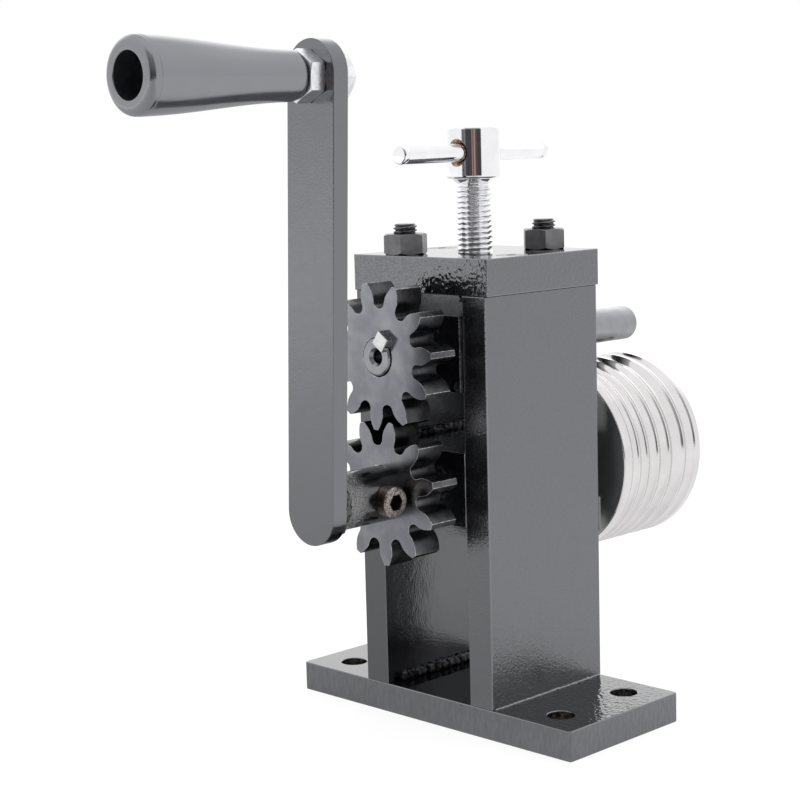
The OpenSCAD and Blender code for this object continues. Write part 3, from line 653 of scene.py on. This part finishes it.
def room_colour(tree, height, ahead, aside):
    """The dark room with its brown stripe in front, and white all round it and above."""
    dark = ramp(tree, aside, (0.13, WHITE_ROOM), (0.145, DARK_ROOM), (0.745, DARK_ROOM), (0.76, WHITE_ROOM))
    warm = ramp(tree, aside, (0.41, DARK_ROOM), (0.43, WARM_ROOM), (0.47, DARK_ROOM), (0.51, WARM_ROOM),
                (0.53, WARM_ROOM), (0.56, SHADOW_ROOM), (0.61, SHADOW_ROOM), (0.63, DARK_ROOM))
    low_sky = rescale(tree, height, -0.3, 0.5)
    low_stripe = ramp(tree, low_sky, (0.26, 0.0), (0.28, 1.0), (0.40, 1.0), (0.42, 0.0))
    inside = ramp(tree, aside, (0.40, 0.0), (0.41, 1.0), (0.63, 1.0), (0.64, 0.0))
    room = mix(tree, maths(tree, "MULTIPLY", low_stripe, inside), dark, warm)
    not_in_front = ramp(tree, ahead, (0.70, 1.0), (0.75, 0.0))
    above = ramp(tree, height, (0.0, 0.0), (0.25, 0.24), (0.70, 0.42), (0.86, 1.0))
    return mix(tree, maths(tree, "MAXIMUM", not_in_front, above), room, WHITE)


def sky_strength(tree, height, ahead):
    """A little more light from above, and a bright wall low behind the machine."""
    lift = rescale(tree, height, 0.3, 1.0, 1.0, SKY_TOP)
    behind = ramp(tree, ahead, (0.06, 1.0), (0.30, 0.0))
    wall = ramp(tree, height, (0.06, 0.1), (0.16, 0.45), (0.26, 0.9), (0.5, 0.9), (0.7, 0.0))
    return maths(tree, "MULTIPLY_ADD", behind, wall, lift)


def make_sky():
    world = bpy.data.worlds.new("studio")
    bpy.context.scene.world = world
    world.use_nodes = True
    tree = world.node_tree
    tree.nodes.clear()
    way = add_node(tree, "ShaderNodeTexCoord").outputs["Generated"]
    height = part_of(tree, way, "Z")
    ahead = level_share(tree, way, camera_side)
    aside = level_share(tree, way, UP.cross(camera_side))
    room = room_colour(tree, height, ahead, aside)
    strength = sky_strength(tree, height, ahead)
    studio = add_node(tree, "ShaderNodeBackground", Color=room, Strength=strength).outputs[0]
    white = add_node(tree, "ShaderNodeBackground", Color=WHITE, Strength=1.0).outputs[0]
    seen = add_node(tree, "ShaderNodeLightPath").outputs["Is Camera Ray"]
    both = add_node(tree, "ShaderNodeMixShader")
    for socket, value in zip(both.inputs, (seen, studio, white)):
        feed(tree, socket, value)
    add_node(tree, "ShaderNodeOutputWorld", Surface=both.outputs[0])
    return tree


sky = make_sky()
print("nodes in the sky:", len(sky.nodes))

# %% [markdown]
# ## Two lamps
# Two big soft disks give the machine its faint shadow. They don't show in reflections, since a round white
# disk in a polished roller would look like a mistake.

# %% Lamps
LAMP_AIM = Vector((0, 0, 0.1))


def make_lamp(name, place, size, power):
    data = bpy.data.lights.new(name, "AREA")
    data.shape = "DISK"
    data.size = size
    data.energy = power
    lamp = bpy.data.objects.new(name, data)
    lamp.location = place
    lamp.rotation_mode = "QUATERNION"
    lamp.rotation_quaternion = (LAMP_AIM - Vector(place)).to_track_quat("-Z", "Y")
    lamp.visible_glossy = False
    bpy.context.scene.collection.objects.link(lamp)


make_lamp("key_lamp", (-0.9, -0.5, 1.3), 0.8, 2.2)
make_lamp("top_lamp", (0.5, 0.5, 1.5), 0.9, 1.6)
bpy.context.scene.view_settings.view_transform = "Standard"
print("lamps:", len(bpy.data.lights))

# %% [markdown]
# ## A small lathe
# Most of the bright pieces are turned, so one helper works like a lathe: it takes a profile, the half
# section drawn as points of radius and height, and spins it round an axis. Many steps round keep the mirror
# image in a polished piece smooth. Edges sharper than about thirty degrees stay sharp, and the rest is
# shaded round.

# %% Helpers that turn profiles
SAME_PLACE = 0.0005 * MM


def stand_on(place, direction):
    """A matrix that puts a piece drawn along Z at a place, along a direction."""
    return Matrix.Translation(place) @ Vector(direction).to_track_quat("Z", "Y").to_matrix().to_4x4()


def arc(centre, radius, start, end, steps):
    """Points on an arc, as (radius, height) pairs, with angles in degrees."""
    angles = [math.radians(start + (end - start) * i / steps) for i in range(steps + 1)]
    return [(centre[0] + radius * math.cos(a), centre[1] + radius * math.sin(a)) for a in angles]


def lathe(profile, steps=128):
    """Spins a closed profile of (radius, height) in millimetres. Points at radius zero become one point."""
    form = bmesh.new()
    rings = []
    for step in range(steps):
        angle = 2 * math.pi * step / steps
        spoke = Vector((math.cos(angle), math.sin(angle), 0))
        rings.append([form.verts.new(spoke * radius * MM + UP * height * MM) for radius, height in profile])
    count = len(profile)
    for step in range(steps):
        here, there = rings[step], rings[(step + 1) % steps]
        for i in range(count):
            j = (i + 1) % count
            if profile[i][0] > 0 or profile[j][0] > 0:
                form.faces.new((here[i], there[i], there[j], here[j]))
    bmesh.ops.remove_doubles(form, verts=form.verts, dist=SAME_PLACE)
    return form


# %% [markdown]
# ## Bringing a piece in
# Every new piece takes the same last steps: its forms become one mesh, its edges are marked sharp or left
# round, and it rides on the body that moves it. A piece that stands for a solid replaces that solid, so only
# one of the two shows.

# %% Helpers that bring a piece in
SHARP = math.radians(32)


def join(forms):
    """Joins forms into one and lets go of them."""
    whole = bmesh.new()
    for form in forms:
        part = bpy.data.meshes.new("part")
        form.to_mesh(part)
        form.free()
        whole.from_mesh(part)
        bpy.data.meshes.remove(part)
    return whole


def bring_in(name, forms, material, node=None, body=None, matrix=Matrix.Identity(4)):
    """Joins forms into one piece that rides on a body. With a node given, it takes that solid's place."""
    whole = join(forms)
    whole.transform(matrix)
    bmesh.ops.recalc_face_normals(whole, faces=whole.faces)
    mesh = bpy.data.meshes.new(name)
    whole.to_mesh(mesh)
    whole.free()
    mesh.polygons.foreach_set("use_smooth", [True] * len(mesh.polygons))
    mesh.set_sharp_from_angle(angle=SHARP)
    mesh.materials.append(material)
    piece = bpy.data.objects.new(name, mesh)
    bpy.context.scene.collection.objects.link(piece)
    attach(piece, body or body_of[node])
    if node:
        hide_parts(node)
    print(name, "faces:", len(mesh.polygons))
    return piece


# %% [markdown]
# ## The grooved roller
# The roller is one polished drum with six shallow round grooves, each a little wider than the last, for wire
# of growing gauge. Every groove is an arc, so its radius follows from its width and its depth. The edges of
# the drum are tiny rounds: a polished edge catches a thin line of light.

# %% Grooved roller
GROOVE_EDGE_SHARES = ((0.095, 0.18), (0.198, 0.29), (0.305, 0.43),
                      (0.445, 0.578), (0.594, 0.77), (0.785, 0.93))
GROOVE_DEPTH_SHARE = 0.19
ROLLER_EDGE = 0.6
SHAFT_FIT = 0.02


def roller_profile():
    length = (high("grooved_roller").y - low("grooved_roller").y) / MM
    radius = (high("grooved_roller").z - low("grooved_roller").z) / MM / 2
    bore = (high("lower_shaft").x - low("lower_shaft").x) / MM / 2 + SHAFT_FIT
    rim = radius - ROLLER_EDGE
    points = [(bore, 0)] + arc((rim, ROLLER_EDGE), ROLLER_EDGE, -90, 0, 4)
    for start, end in GROOVE_EDGE_SHARES:
        width = (end - start) * length
        depth = GROOVE_DEPTH_SHARE * width
        bend = (width * width / 4 + depth * depth) / (2 * depth)
        middle = (start + end) / 2 * length
        half_angle = math.degrees(math.asin(width / 2 / bend))
        points += arc((radius + bend - depth, middle), bend, 180 + half_angle, 180 - half_angle, 16)
    return points + arc((rim, length - ROLLER_EDGE), ROLLER_EDGE, 0, 90, 4) + [(bore, length)]


drum_place = Vector((0, low("grooved_roller").y, lower_axis.z))
drum = bring_in("grooved_roller_drum", [lathe(roller_profile(), 256)], satin_chrome, "grooved_roller",
                matrix=stand_on(drum_place, -FRONT))
drum.data.materials.append(dark_face)
for face in drum.data.polygons:
    if abs(face.normal.y) > 0.99:
        face.material_index = 1

# %% [markdown]
# ## Screw threads
# A thread is a helix, and from a metre away its crests and its zigzag outline are what the eye sees. Here
# the rod is a grid of points: each point's radius depends on how far along the helix it lies, so crests and
# roots wind up the rod by themselves, and both ends close with a flat cap.

# %% Threaded rods
ROOT_SHARE = 0.14
FLANK_SHARE = 0.60


def thread_share(phase):
    """Height of a rounded vee thread at a phase of its pitch, from zero at the root to one at the crest."""
    climb = abs(2 * (phase % 1.0) - 1)
    return min(1.0, max(0.0, (climb - ROOT_SHARE) / FLANK_SHARE))


def threaded_rod(crest, root, pitch, bottom, top, chamfer, steps=48, rows_per_pitch=10):
    """A rod with a right hand thread between two heights, in millimetres, chamfered at the top."""
    form = bmesh.new()
    rows = max(2, round((top - bottom) / pitch * rows_per_pitch))
    grid = []
    for row in range(rows + 1):
        height = bottom + (top - bottom) * row / rows
        limit = crest - max(0.0, chamfer - (top - height))
        ring = []
        for step in range(steps):
            turn = step / steps
            radius = root + (crest - root) * thread_share(height / pitch - turn)
            radius = min(radius, limit)
            angle = 2 * math.pi * turn
            place = (radius * math.cos(angle) * MM, radius * math.sin(angle) * MM, height * MM)
            ring.append(form.verts.new(place))
        grid.append(ring)
    for lower, upper in zip(grid, grid[1:]):
        for step in range(steps):
            after = (step + 1) % steps
            form.faces.new((lower[step], lower[after], upper[after], upper[step]))
    form.faces.new(list(reversed(grid[0])))
    form.faces.new(grid[-1])
    return form


# %% [markdown]
# ## A drill
# The cross hole in the head of the screw is cut with a boolean, the way a drill would do it: subtract a
# tool. Booleans compare points within a fixed distance, and in metres this screw is tiny, so both shapes
# grow a thousand times for the cut and shrink back after it. A tool that is inside out would cut nothing, so
# a shape with a negative volume is turned right side out first.


# %% Helper that cuts
def cut(name, forms, tools, matrix, tool_matrix):
    """Subtracts the tools from the forms, and gives back one form."""
    made = []
    for label, group, place in ((name, forms, matrix), (name + "_tool", tools, tool_matrix)):
        whole = join(group)
        whole.transform(Matrix.Scale(1 / MM, 4) @ place)
        bmesh.ops.recalc_face_normals(whole, faces=whole.faces)
        if whole.calc_volume(signed=True) < 0:
            bmesh.ops.reverse_faces(whole, faces=whole.faces)
        mesh = bpy.data.meshes.new(label)
        whole.to_mesh(mesh)
        whole.free()
        thing = bpy.data.objects.new(label, mesh)
        bpy.context.scene.collection.objects.link(thing)
        made.append(thing)
    drill = made[0].modifiers.new("drill", "BOOLEAN")
    drill.operation = "DIFFERENCE"
    drill.solver = "EXACT"
    drill.object = made[1]
    result = bmesh.new()
    result.from_object(made[0], bpy.context.evaluated_depsgraph_get())
    result.transform(Matrix.Scale(MM, 4))
    for thing in made:
        mesh = thing.data
        bpy.data.objects.remove(thing)
        bpy.data.meshes.remove(mesh)
    return result


# %% [markdown]
# ## The pressure screw
# The screw is polished bright: a threaded shank, a short neck, a cone and a fat round head, drilled across
# for the tommy bar. One tool in the shape of a spool drills the hole and flares both of its mouths.

# %% Pressure screw
SCREW_PITCH = 1.75
SCREW_CREST = 5.95
SCREW_ROOT = 5.42
SCREW_CHAMFER = 0.6
THREAD_START = 3.6
THREAD_OVERLAP = 0.05
HEAD_HEIGHT = 17.0
HEAD_ROUND = 1.0
COLLAR_STEP = 1.8
COLLAR_HEIGHT = 0.15
CONE_BOTTOM = 2.0
NECK_RADIUS = 5.0
NECK_BOTTOM = 2.3
BAR_HOLE = 6.4
HOLE_MOUTH = 9.1
TOOL_REACH = 2.0
TIP_RADIUS = 4.0
TIP_LENGTH = 4.0
TIP_CHAMFER = 0.4

head_top = high("pressure_screw").z / MM
head_bottom = head_top - HEAD_HEIGHT
head_radius = (high("pressure_screw").x - low("pressure_screw").x) / MM / 2
neck_bottom = head_bottom - NECK_BOTTOM
screw_bottom = low("pressure_screw").z / MM
hole_centre = UP * (head_top - HEAD_HEIGHT / 2) * MM


def screw_head():
    rim, collar = head_radius - HEAD_ROUND, head_radius - COLLAR_STEP
    profile = [(0, neck_bottom), (NECK_RADIUS, neck_bottom), (NECK_RADIUS, head_bottom - CONE_BOTTOM)]
    profile += [(collar, head_bottom - COLLAR_HEIGHT), (collar, head_bottom)]
    profile += arc((rim, head_bottom + HEAD_ROUND), HEAD_ROUND, -90, 0, 6)
    profile += [(head_radius, head_bottom + HEAD_HEIGHT * i / 8) for i in range(1, 8)]
    profile += arc((rim, head_top - HEAD_ROUND), HEAD_ROUND, 0, 90, 6) + [(0, head_top)]
    mouth, hole = HOLE_MOUTH / 2, BAR_HOLE / 2
    flare = head_radius - (mouth - hole)
    end = head_radius + TOOL_REACH
    spool = [(0, -end), (mouth + TOOL_REACH, -end), (hole, -flare)]
    spool += [(hole, flare), (mouth + TOOL_REACH, end), (0, end)]
    place = stand_on(hole_centre, bar_direction)
    return cut("head", [lathe(profile, 160)], [lathe(spool, 96)], Matrix.Identity(4), place)


def screw_tip():
    end = screw_bottom + TIP_LENGTH
    return lathe([(0, screw_bottom), (TIP_RADIUS - TIP_CHAMFER, screw_bottom),
                  (TIP_RADIUS, screw_bottom + TIP_CHAMFER), (TIP_RADIUS, end), (0, end)], 48)


shank = threaded_rod(SCREW_CREST, SCREW_ROOT, SCREW_PITCH, screw_bottom + THREAD_START,
                     neck_bottom + THREAD_OVERLAP, SCREW_CHAMFER)
screw = bring_in("pressure_screw_turned", [screw_head(), shank, screw_tip()], chrome, "pressure_screw")
screw.data.materials.append(copper)
screw.data.materials.append(thread_chrome)

# %% [markdown]
# ## A smooth mirror round the hole
# The cut leaves long thin faces round the hole, and a mirror would show every one of them. The true shape is
# known, though: a cylinder with two rounds, a straight hole and two cones. So each corner of each face gets
# the normal of that true shape. The same test finds the faces of the hole, which are bare copper.

# %% Normals and finishes of the head
COPPER, THREAD = 1, 2
FACES_BOTH = 1.3
FACES_STRAIGHT = 0.98
HOLE_SLACK = 0.1
MOUTH_SLACK = 0.3
head_straight = (HEAD_HEIGHT / 2 - HEAD_ROUND) * MM
round_reach = (head_radius - HEAD_ROUND) * MM


def round_hole(place):
    """The nearest end of the cross hole as a direction, and the spoke from the hole's axis to a place."""
    offset = place - hole_centre
    along = offset.dot(bar_direction)
    return bar_direction * math.copysign(1, along), offset - bar_direction * along


def on_mouth(face):
    """Whether a face looks half along the hole and half at its axis, as a countersink does."""
    end, spoke = round_hole(face.center)
    return face.normal.dot(end - spoke.normalized()) > FACES_BOTH


def in_hole(face):
    """Whether a face looks straight at the hole's axis."""
    return face.normal.dot(round_hole(face.center)[1].normalized()) < -FACES_STRAIGHT


def true_normal(face, place):
    """The normal of the turned, drilled shape itself."""
    end, spoke = round_hole(face.center)
    here = round_hole(place)[1].normalized()
    if on_mouth(face):
        return (end - here).normalized()
    if in_hole(face) and spoke.length < (BAR_HOLE / 2 + HOLE_SLACK) * MM:
        return -here
    flat = Vector((place.x, place.y, 0)).normalized()
    for centre in (hole_centre.z + head_straight, hole_centre.z - head_straight):
        beyond = (face.center.z - centre) * (centre - hole_centre.z) > 0
        if beyond and abs(face.normal.z) < 0.99 and face.center.xy.length > round_reach:
            return (place - flat * round_reach - UP * centre).normalized()
    return (flat * math.sqrt(1 - face.normal.z ** 2) + UP * face.normal.z).normalized()


corner_normals = [corner.vector.copy() for corner in screw.data.corner_normals]
for face in screw.data.polygons:
    if face.center.z / MM < neck_bottom:
        face.material_index = THREAD
        continue
    near_hole = round_hole(face.center)[1].length < (HOLE_MOUTH / 2 + MOUTH_SLACK) * MM
    if near_hole and (on_mouth(face) or in_hole(face)):
        face.material_index = COPPER
    for corner in face.loop_indices:
        place = screw.data.vertices[screw.data.loops[corner].vertex_index].co
        corner_normals[corner] = true_normal(face, place)
screw.data.normals_split_custom_set(corner_normals)
print("copper faces:", sum(1 for face in screw.data.polygons if face.material_index == COPPER))

# %% [markdown]
# ## The tommy bar
# The bar is a loose chromed pin. Its ends are peened over, a little wider than the rod, so it can slide
# through the head but never fall out. Both halves are alike, so one side is drawn and mirrored.

# %% Tommy bar
PEEN_STEP = 0.1
PEEN_GROOVE = 0.08
PEEN_ROUND = 0.75


def tommy_bar():
    lowest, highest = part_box("tommy_bar")
    width = highest.z - lowest.z
    length = ((highest.y - lowest.y) - width * abs(bar_direction.x)) / abs(bar_direction.y) / MM
    end, half = width / MM / 2, length / 2
    rod = end - PEEN_STEP
    groove = rod - PEEN_GROOVE
    side = [(rod, half - 2.4), (groove, half - 2.25), (groove, half - 2.1), (end - 0.04, half - 1.9)]
    side += [(end, half - 1.5)] + arc((end - PEEN_ROUND, half - PEEN_ROUND), PEEN_ROUND, 0, 90, 8)
    side += [(0, half)]
    profile = [(radius, -height) for radius, height in reversed(side)] + side
    centre = Vector((0, 0, (lowest.z + highest.z) / 2))
    bring_in("tommy_bar_turned", [lathe(profile, 64)], chrome, "tommy_bar",
             matrix=stand_on(centre, bar_direction))


tommy_bar()

# %% [markdown]
# ## The forming shaft and the studs
# Rings are bent round the plain end of the upper shaft. It is one turned bar, so it is spun again with a
# rounded end and a real centre hole from the lathe. The key slot at its front end hides under the bright
# key. The two hanger studs are black threaded rods.

# %% Forming shaft and studs
CENTRE_HOLE = 2.1
CENTRE_MOUTH = 3.0
CENTRE_DEPTH = 6.5
DRILL_POINT = 1.5
SHAFT_CHAMFER = 0.5
SHAFT_ROUND = 1.5
STUD_CREST = 3.97
STUD_ROOT = 3.25
STUD_PITCH = 1.25
STUD_CHAMFER = 0.7


def forming_shaft():
    lowest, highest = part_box("upper_shaft")
    length = (highest.y - lowest.y) / MM
    radius = (highest.z - lowest.z) / MM / 2
    bottom = CENTRE_DEPTH + DRILL_POINT
    profile = [(0, bottom), (0.3, bottom), (CENTRE_HOLE, CENTRE_DEPTH), (CENTRE_HOLE, 1.0)]
    profile += [(CENTRE_MOUTH, 0), (radius - SHAFT_CHAMFER, 0), (radius, SHAFT_CHAMFER)]
    profile += [(radius, length * i / 6) for i in range(1, 6)] + [(radius, length - SHAFT_ROUND)]
    profile += arc((radius - SHAFT_ROUND, length - SHAFT_ROUND), SHAFT_ROUND, 0, 90, 8) + [(0, length)]
    place = Vector((0, lowest.y, upper_axis.z))
    bring_in("forming_shaft_turned", [lathe(profile, 96)], forming_steel, "upper_shaft",
             matrix=stand_on(place, -FRONT))


def hanger_studs():
    lowest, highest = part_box("hanger_studs")
    bottom, top = lowest.z / MM, highest.z / MM
    rods = []
    for joint in ("left_nut_turn", "right_nut_turn"):
        rod = threaded_rod(STUD_CREST, STUD_ROOT, STUD_PITCH, bottom, top, STUD_CHAMFER, 40, 8)
        place = Vector(joints[joint]["pos_m"])
        rod.transform(Matrix.Translation((place.x, place.y, 0)))
        rods.append(rod)
    bring_in("hanger_studs_threaded", rods, black_oxide, "hanger_studs")


forming_shaft()
hanger_studs()

# %% [markdown]
# ## The grip
# The grip is a moulded plastic sleeve that swells towards its open end. A cosine gives the long easy curve,
# the small end has a tight round, and behind a thin crease the open end rolls over a fat lip into the hollow
# where the bolt's head hides.

# %% Grip
GRIP_SMALL = 7.6
GRIP_BORE = 4.1
GRIP_HOLLOW = 6.8
GRIP_START = 2.6
GRIP_ROUND = 2.4
LIP_START = 3.6
LIP_ROUND = 2.6
RIM_ROUND = 0.35
CREASE_DEPTH = 0.12
SWELL_STEPS = 40


def grip():
    lowest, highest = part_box("handle_grip")
    length = (highest.y - lowest.y) / MM
    big = (highest.z - lowest.z) / MM / 2

    def swell(height):
        return GRIP_SMALL + (big - GRIP_SMALL) * (1 - math.cos(math.pi * height / length)) / 2

    stretch = length - GRIP_START - LIP_START
    heights = [GRIP_START + stretch * i / SWELL_STEPS for i in range(SWELL_STEPS + 1)]
    body = [(swell(height), height) for height in heights]
    profile = [(GRIP_BORE, 0)] + arc((body[0][0] - GRIP_ROUND, GRIP_ROUND), GRIP_ROUND, -90, -4, 8) + body
    lip = body[-1][0]
    profile += [(lip - CREASE_DEPTH, length - 3.4), (lip - CREASE_DEPTH, length - 3.25)]
    profile += arc((lip - LIP_ROUND, length - LIP_ROUND), LIP_ROUND, 4, 90, 12)
    profile += arc((GRIP_HOLLOW + RIM_ROUND, length - RIM_ROUND), RIM_ROUND, 90, 180, 6)
    profile += [(GRIP_HOLLOW, length - 10), (GRIP_HOLLOW, length - 20)]
    profile += [(GRIP_HOLLOW - 0.1, length / 2 + 0.6), (GRIP_HOLLOW - 0.6, length / 2)]
    profile += [(GRIP_BORE, length / 2)]
    place = Vector((handle_axis.x, highest.y, handle_axis.z))
    bring_in("handle_grip_moulded", [lathe(profile, 128)], plastic, "handle_grip",
             matrix=stand_on(place, FRONT))


grip()

# %% [markdown]
# ## Weld beads
# A hand laid bead is a row of overlapping puddles with spatter and paint over it. Each bead here is a bent
# tube that follows a path: ripples swell and shrink it along the way, and a little noise breaks the
# regularity. The noise is a fixed function of place, so the bead is the same each time.

# %% Helper for beads
BEAD_SIDES = 14
COARSE_LUMPS = 0.9
FINE_LUMPS = 2.3
RIPPLE_SHARE = 0.3
TAPER_START = 0.25
TAPER_STEP = 0.5


def bead(path, radius, ripple, rough, closed=False):
    """A lumpy tube along points in millimetres. Ripple is the distance from puddle to puddle."""
    form = bmesh.new()
    rings = []
    count = len(path)
    travelled = 0.0
    for i, point in enumerate(path):
        before = path[i - 1] if i or closed else path[0]
        after = path[(i + 1) % count] if i + 1 < count or closed else path[-1]
        forward = (after - before).normalized()
        side = forward.cross(UP if abs(forward.z) < 0.8 else FRONT).normalized()
        lift = side.cross(forward)
        if i:
            travelled += (point - path[i - 1]).length
        swell = 1 + RIPPLE_SHARE * rough * math.cos(2 * math.pi * travelled / ripple)
        taper = 1.0 if closed else min(1.0, TAPER_START + TAPER_STEP * min(i, count - 1 - i))
        ring = []
        for step in range(BEAD_SIDES):
            angle = 2 * math.pi * step / BEAD_SIDES
            out = side * math.cos(angle) + lift * math.sin(angle)
            wobble = 1 + rough * noise.noise((point + out * radius) * COARSE_LUMPS)
            wobble += 0.5 * rough * noise.noise((point + out) * FINE_LUMPS)
            ring.append(form.verts.new((point + out * radius * swell * taper * wobble) * MM))
        rings.append(ring)
    spans = count if closed else count - 1
    for i in range(spans):
        here, there = rings[i], rings[(i + 1) % count]
        for step in range(BEAD_SIDES):
            after = (step + 1) % BEAD_SIDES
            form.faces.new((here[step], here[after], there[after], there[step]))
    if not closed:
        form.faces.new(list(reversed(rings[0])))
        form.faces.new(rings[-1])
    return form


# %% [markdown]
# ## Beads on the frame
# Two beads hold the posts to the base and two lie on the lower block, and a thin fillet of paint fills the
# corner outside the right post. The beads run straight but wander by a quarter of a millimetre, because
# nobody welds along a ruler.

# %% Beads on the frame
BEAD_STEP = 0.35
BEAD_WANDER = 0.25
BEAD_ROUGHNESS = 0.14
WANDER_PACE = 0.11
SIDE_SEED = 7.1
WELD_TOP = 0.85
LINE_RAGGEDNESS = 0.25
LINE_LUMPS = 1.3
SEAM_STEPS = 150
SEAM_OUT = 0.05
SEAM_INSET = 0.8


def paint_highlight_on_top(piece):
    """Paints a broken, paler line on the top of a bead: a painted highlight."""
    piece.data.materials.append(painted_highlight_on_welds)
    for face in piece.data.polygons:
        # The pale top faces are a painted highlight.
        if face.normal.z > WELD_TOP + LINE_RAGGEDNESS * noise.noise(face.center / MM * LINE_LUMPS):
            face.material_index = 1


def straight_beads(name, node, material, radius, inset, ripple):
    """A pair of beads inside the two corners that a pair of solid beads fills."""
    lowest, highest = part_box(node)
    beads = []
    for side in (-1, 1):
        x = side * (highest.x / MM - inset)
        z = lowest.z / MM + inset
        start, end = lowest.y / MM + radius, highest.y / MM - radius
        steps = int((end - start) / BEAD_STEP)
        path = []
        for i in range(steps + 1):
            wander = BEAD_WANDER * noise.noise(Vector((side * SIDE_SEED, i * WANDER_PACE, z)))
            path.append(Vector((x + wander, start + (end - start) * i / steps, z + wander)))
        beads.append(bead(path, radius, ripple, BEAD_ROUGHNESS))
    paint_highlight_on_top(bring_in(name, beads, material, node))


def foot_seam():
    """A thin fillet of paint where the right post meets the base, on its outer side."""
    lowest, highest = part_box("right_post")
    x, z = highest.x / MM + SEAM_OUT, lowest.z / MM + SEAM_OUT
    start, end = lowest.y / MM + SEAM_INSET, highest.y / MM - SEAM_INSET
    path = [Vector((x, start + (end - start) * i / SEAM_STEPS, z)) for i in range(SEAM_STEPS + 1)]
    seam = bead(path, radius=0.55, ripple=3.1, rough=0.3)
    bring_in("right_foot_seam", [seam], edge_paint, body="frame")


foot_seam()
straight_beads("base_weld_beads", "base_welds", weld_paint, radius=1.9, inset=1.0, ripple=3.3)
straight_beads("block_weld_beads", "block_welds", dull_paint, radius=1.6, inset=0.85, ripple=2.6)

# %% [markdown]
# ## The bead round the boss
# The arm is welded to the boss all the way round, so this bead is a closed ring. It is rougher than the
# straight ones, since the welder went round a small tube by hand.

# %% Bead on the boss
RING_REACH = 9.3
RING_WANDER = 0.3
RING_LIFT = 0.9
RING_STEPS = 120


def ring_bead():
    centre = Vector((lower_axis.x, low("boss_weld").y, lower_axis.z)) / MM
    path = []
    for i in range(RING_STEPS):
        angle = 2 * math.pi * i / RING_STEPS
        lump = noise.noise(Vector((math.cos(angle) * 2, math.sin(angle) * 2, 0.5)))
        reach = RING_REACH + RING_WANDER * lump
        path.append(centre + Vector((reach * math.cos(angle), RING_LIFT, reach * math.sin(angle))))
    ring = bead(path, radius=1.35, ripple=2.2, rough=0.35, closed=True)
    bring_in("boss_weld_bead", [ring], sandy_paint, "boss_weld")


ring_bead()
